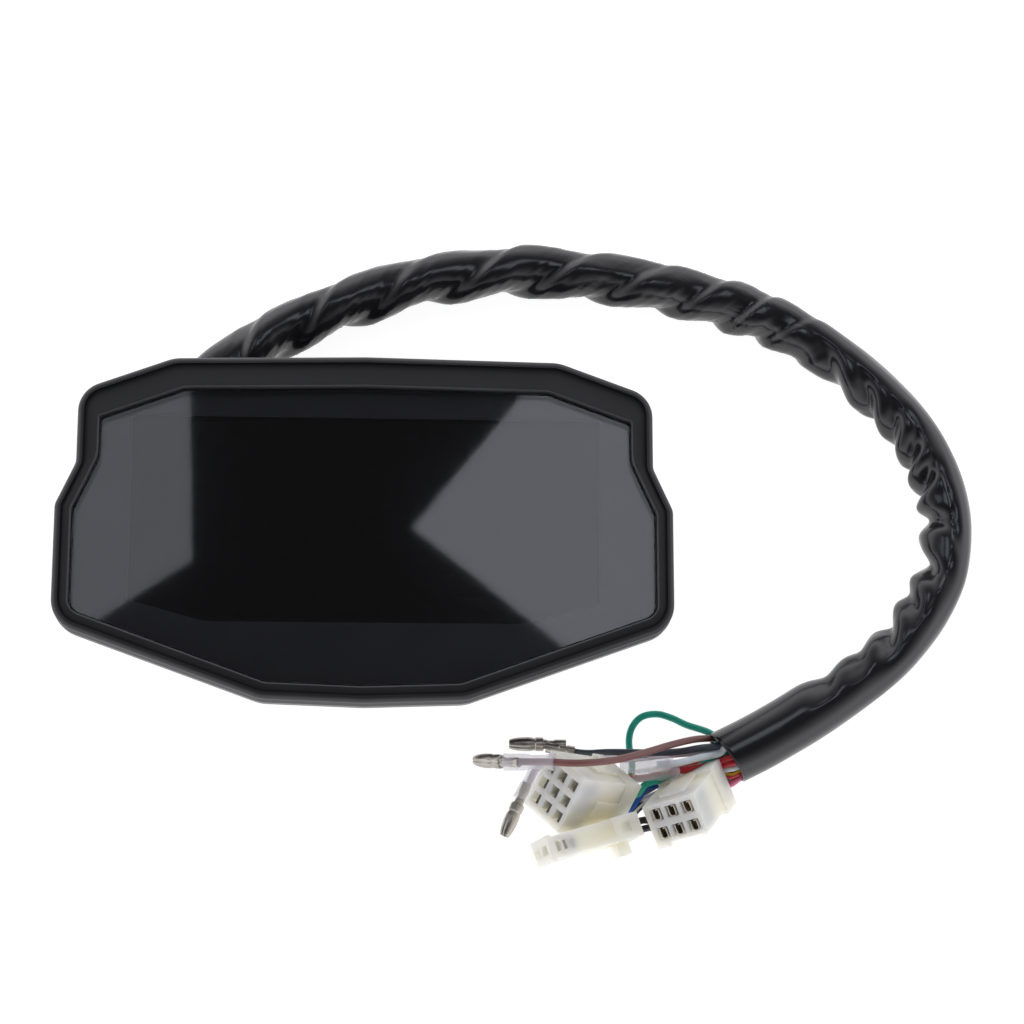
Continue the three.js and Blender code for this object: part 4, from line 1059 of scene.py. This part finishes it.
def make_front_case():
    bottom, top = CASE_LOW.z, CASE_TOP
    rings = [case_ring(0.3, bottom), case_ring(0, bottom + 0.3)]
    rings += list(reversed(fillet(case_ring, EDGE_FILLET, 0, top)))
    rings += [aperture_ring(-across, top - up) for across, up in quarter_round(MOUTH_FILLET, 6)]
    shelf = LENS_LOW.z - SHELF_DROP
    ledge = ((0, shelf), (SHELF_LEDGE, shelf), (SHELF_LEDGE, bottom))
    rings += [aperture_ring(inset, z) for inset, z in ledge]
    case = lofted("front_bezel", rings, CASE_BLACK, ends="loop")
    finish_piece(case, stands_for=["front_case"])


def make_lens():
    low, high = LENS_LOW.z, LENS_HIGH.z
    rings = [aperture_ring(GAP + 0.2, low), aperture_ring(GAP, low + 0.2)]
    rings += list(reversed(fillet(lambda inset, z: aperture_ring(GAP + inset, z), 0.4, 0, high, steps=4)))
    finish_piece(lofted("lens_window", rings, LENS), stands_for=["lens"])


BOX = dict(half=62, low=-34, high=33, notch=(18, 19), radius=4, wall=2)
RIM_HEIGHT = 4.6
COVER_INSET = 3.4
COVER_DRAFT = 1.0
COVER_WALL = 3.4
SHELL_LOW = 15.0  # the cover's flat back
BOX_FLOOR = 3.0


def box_ring(inset, z):
    side, notch_x, notch_y = BOX["half"], BOX["notch"][0] - BOX["half"], BOX["high"] - BOX["notch"][1]
    corners = [
        (side, BOX["high"]), (notch_x, BOX["high"]), (notch_x, notch_y), (-side, notch_y),
        (-side, BOX["low"]), (side, BOX["low"]),
    ]
    loop = rounded_loop(inset_polygon([(x, y, BOX["radius"]) for x, y in corners], [inset] * 6), 8)
    return [(p.x, p.y, z) for p in loop]


def node_axis(name):
    low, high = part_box(name)
    return ((low.x + high.x) / 2 / MM, (low.y + high.y) / 2 / MM)


CASE_SCREW_SPOTS = [node_axis("case_screw_%d" % k) for k in range(1, 9)]
INSERT_SPOTS = [node_axis("mount_insert_%d" % k) for k in range(1, 5)]
BUTTON_SPOTS = {side: node_axis("button_" + side) for side in ("left", "right")}
VENT_SPOT = node_axis("vent_plug")
OUTLET = Vector((-53, 14, 9.3))  # where the cable leaves the back box
OUTLET_HALF = (5.2, 3.2)
SKIRT_FILLET = 1.2
BOX_FILLET = 1.4
POST_RADIUS = 2.9
SCREW_HOLE = 2.25
INSERT_HOLE = 3.5
INSERT_DEPTH = 9.6
BUTTON_HOLE = 4.0
POST_INSET = 2.7  # how far the screw posts' feet stay inside the case's outline
SCREW_SEAT = 19.1  # height of the flat under each case screw's head


def make_rear_cover():
    foot = COVER_INSET + COVER_DRAFT
    draft = [(foot + across, SHELL_LOW + up) for across, up in quarter_round(SKIRT_FILLET, 4)]
    top = REAR_HIGH.z
    step = top - RIM_HEIGHT
    levels = draft + [
        (COVER_INSET, step), (1.5, step), (1.0, step + 0.15), (0.4, step + 0.9), (0.25, step + 1.2),
        (0.25, top - 0.25), (0.45, top),
    ]
    cover = lofted("rear_shell", [case_ring(inset, z) for inset, z in levels], CASE_BLACK)
    walls = [box_ring(across, BOX_FLOOR + up) for across, up in quarter_round(BOX_FILLET, 5)]
    boolean(cover, lofted("box", [*walls, box_ring(0, SHELL_LOW + 1)], None), "UNION")
    inner, wall = COVER_INSET + COVER_WALL, BOX["wall"]
    boolean(cover, lofted("cavity", [case_ring(inner, z) for z in (SHELL_LOW + wall, top + 1)], None))
    well = [box_ring(wall, z) for z in (BOX_FLOOR + wall, SHELL_LOW + wall + 1)]
    boolean(cover, lofted("well", well, None))
    posts = [rod(POST_RADIUS, SHELL_LOW + 0.4, top - 0.1, spot, 24) for spot in CASE_SCREW_SPOTS]
    posts = merge("posts", posts)
    limits = ((POST_INSET, SHELL_LOW), (1.2, step), (1.2, top))
    boolean(posts, lofted("limit", [case_ring(inset, z) for inset, z in limits], None), "INTERSECT")
    boolean(cover, posts, "UNION")
    boolean(cover, merge("bosses", [boss(spot) for spot in INSERT_SPOTS]), "UNION")
    holes = [rod(SCREW_HOLE, SHELL_LOW - 1, SCREW_SEAT, spot, 32) for spot in CASE_SCREW_SPOTS]
    holes += [rod(INSERT_HOLE, -1, INSERT_DEPTH, spot, 40) for spot in INSERT_SPOTS]
    holes += [counterbore(BUTTON_HOLE, spot) for spot in BUTTON_SPOTS.values()]
    low, high = Vector((-OUTLET_HALF[0], -3, -OUTLET_HALF[1])), Vector((OUTLET_HALF[0], 1, OUTLET_HALF[1]))
    holes.append(block("slot", OUTLET + low, OUTLET + high))
    boolean(cover, merge("holes", holes))
    finish_piece(cover, CASE_BLACK, stands_for=["rear_cover"])


def boss(spot):
    profile = [(0, 0), (6.1, 0), (6.4, 0.12), (6.5, 0.4), (6.5, 12), (0, 12)]
    return turned("boss", profile, spot)


def counterbore(radius, spot):
    profile = [(0, BOX_FLOOR - 1), (radius + 1, BOX_FLOOR - 1), (radius + 0.6, BOX_FLOOR + 0.01),
               (radius, BOX_FLOOR + 0.6), (radius, BOX_FLOOR + 4), (0, BOX_FLOOR + 4)]
    return turned("bore", profile, spot)


def make_screws():
    """Pan-head screws with a cross recess, seen at the bottom of their holes."""
    for k, spot in enumerate(CASE_SCREW_SPOTS, 1):
        node = "case_screw_%d" % k
        low, high = (corner.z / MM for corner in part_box(node))
        profile = [(0, low - 0.05), (0.9, low), (1.5, low + 0.2), (1.82, low + 0.6), (1.9, low + 1.1),
                   (1.85, low + 1.5), (1.1, low + 1.5)]
        for turn in range(10):
            z = low + 2 + turn * 0.95
            profile += [(0.85, z), (1.1, z + 0.42), (1.1, z + 0.5)]
        profile += [(0.5, high - 0.1), (0, high)]
        screw = lathe("screw_%d" % k, profile, STEEL, sides=36)
        cross = merge("cross", [block("a", (-1.15, -0.22, low - 1), (1.15, 0.22, low + 0.85))])
        boolean(screw, cross)
        boolean(screw, block("b", (-0.22, -1.15, low - 1), (0.22, 1.15, low + 0.85)))
        placed(screw, Matrix.Translation((*spot, 0)) @ Matrix.Rotation(0.7 * k, 4, "Z"))
        finish_piece(screw, STEEL, stands_for=[node])


def make_inserts():
    for k, spot in enumerate(INSERT_SPOTS, 1):
        outer = [(2.6, 0.35), (3.2, 0.35), (3.42, 0.6), (3.42, 8.8), (3.2, 9), (2.5, 9)]
        thread = []
        for turn in range(10):
            z = 8.6 - turn * 0.8
            thread += [(2.1, z), (2.1, z - 0.15), (2.45, z - 0.4), (2.45, z - 0.5)]
        profile = outer + thread
        rings = [[(r * math.cos(t), r * math.sin(t), z) for t in turns(40)] for r, z in profile]
        insert = placed(lofted("insert_%d" % k, rings, BRASS, ends="loop"), Matrix.Translation((*spot, 0)))
        finish_piece(insert, stands_for=["mount_insert_%d" % k])


def make_buttons():
    for side, spot in BUTTON_SPOTS.items():
        node = "button_" + side
        low, high = (corner.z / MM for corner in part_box(node))
        profile = [
            (0, low + 0.25), (1.4, low + 0.2), (1.6, low), (2.0, low), (2.2, low + 0.15), (2.7, low + 0.1),
            (3.2, low + 0.2), (3.55, low + 0.5), (3.7, low + 1), (3.7, 5.3), (5, 5.3), (5, 6.2), (4.6, 6.4),
            (1.7, 6.9), (1.5, 7.3), (1.5, high), (0, high),
        ]
        cap = turned("button_cap_" + side, profile, spot, RUBBER)
        finish_piece(cap, body=side + "_button", stands_for=[node])


def make_vent():
    profile = [
        (0, 1.6), (1.2, 1.55), (1.4, 1.75), (1.7, 1.75), (1.9, 1.5), (3.9, 1.5), (4.3, 1.65),
        (4.5, 2.05), (4.5, 2.7), (2, 2.7), (2, 4.8), (2.2, 5.2), (1.9, 6), (0, 6),
    ]
    vent = turned("vent_cap", profile, VENT_SPOT, RUBBER)
    finish_piece(vent, stands_for=["vent_plug"])


def make_grommet():
    """Flanges either side of the wall, then a ribbed boot that runs down onto the sleeve."""
    x, z, wall = OUTLET.x, OUTLET.z, OUTLET.y
    flange = (
        (5.5, 3.5, -4.1), (5.8, 3.8, -3.9), (5.8, 3.8, -2.5), (5.6, 3.6, -2.3), (4.9, 2.9, -2.3),
        (4.9, 2.9, 0.1), (6.1, 4.1, 0.1), (6.4, 4.4, 0.4), (6.4, 4.4, 1.8), (6.1, 4.3, 2.1),
    )
    levels = [(a, b, z, wall + reach) for a, b, reach in flange]
    for rib in range(4):
        y = wall + 2.2 + rib * 1.0
        low = 7.9 + 1.2 * (1 - rib / 3)
        high = 4.5 + 1.3 * rib / 3
        levels += [(5.5, high - 0.35, low, y), (5.5, high - 0.35, low, y + 0.35),
                   (6, high, low, y + 0.5), (6, high, low, y + 0.85)]
    levels += [(5.9, 5.8, 7.6, wall + 6.5), (5.2, 5.2, 7.6, wall + 6.7)]
    rings = [
        [(x + a * math.cos(t), y, height + b * math.sin(t)) for t in turns(48)]
        for a, b, height, y in levels
    ]
    finish_piece(lofted("cable_boot", rings, RUBBER), stands_for=["cable_grommet"])


INSIDE = {
    "mask_frame": MASK_BLACK, "lcd_glass": DISPLAY, "lcd_carrier": WHITE, "light_guide": ACRYLIC,
    "backlight_lamp_bar": WHITE, "backlight_reflector": WHITE, "lcd_flex_cable": FILM, "flex_socket": CHIP,
    "main_pcb": BOARD, "mcu_chip": CHIP, "regulator_chip": CHIP, "supply_capacitor": STEEL,
    "harness_header": WHITE, "inner_leads": VINYL, "lens_gasket": RUBBER, "case_seal": RUBBER,
    "tact_switch_left": CHIP, "tact_switch_right": CHIP, "switch_plunger_left": WHITE,
    "switch_plunger_right": WHITE, "board_screw_1": STEEL, "board_screw_2": STEEL,
}


def dress_cad_nodes():
    for name, material in INSIDE.items():
        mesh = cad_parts[name].data
        mesh.materials.clear()
        mesh.materials.append(material)


make_sleeve()
make_leads(make_ends())
make_front_case()
make_lens()
make_rear_cover()
make_screws()
make_inserts()
make_buttons()
make_vent()
make_grommet()
dress_cad_nodes()
make_floor()
make_light()
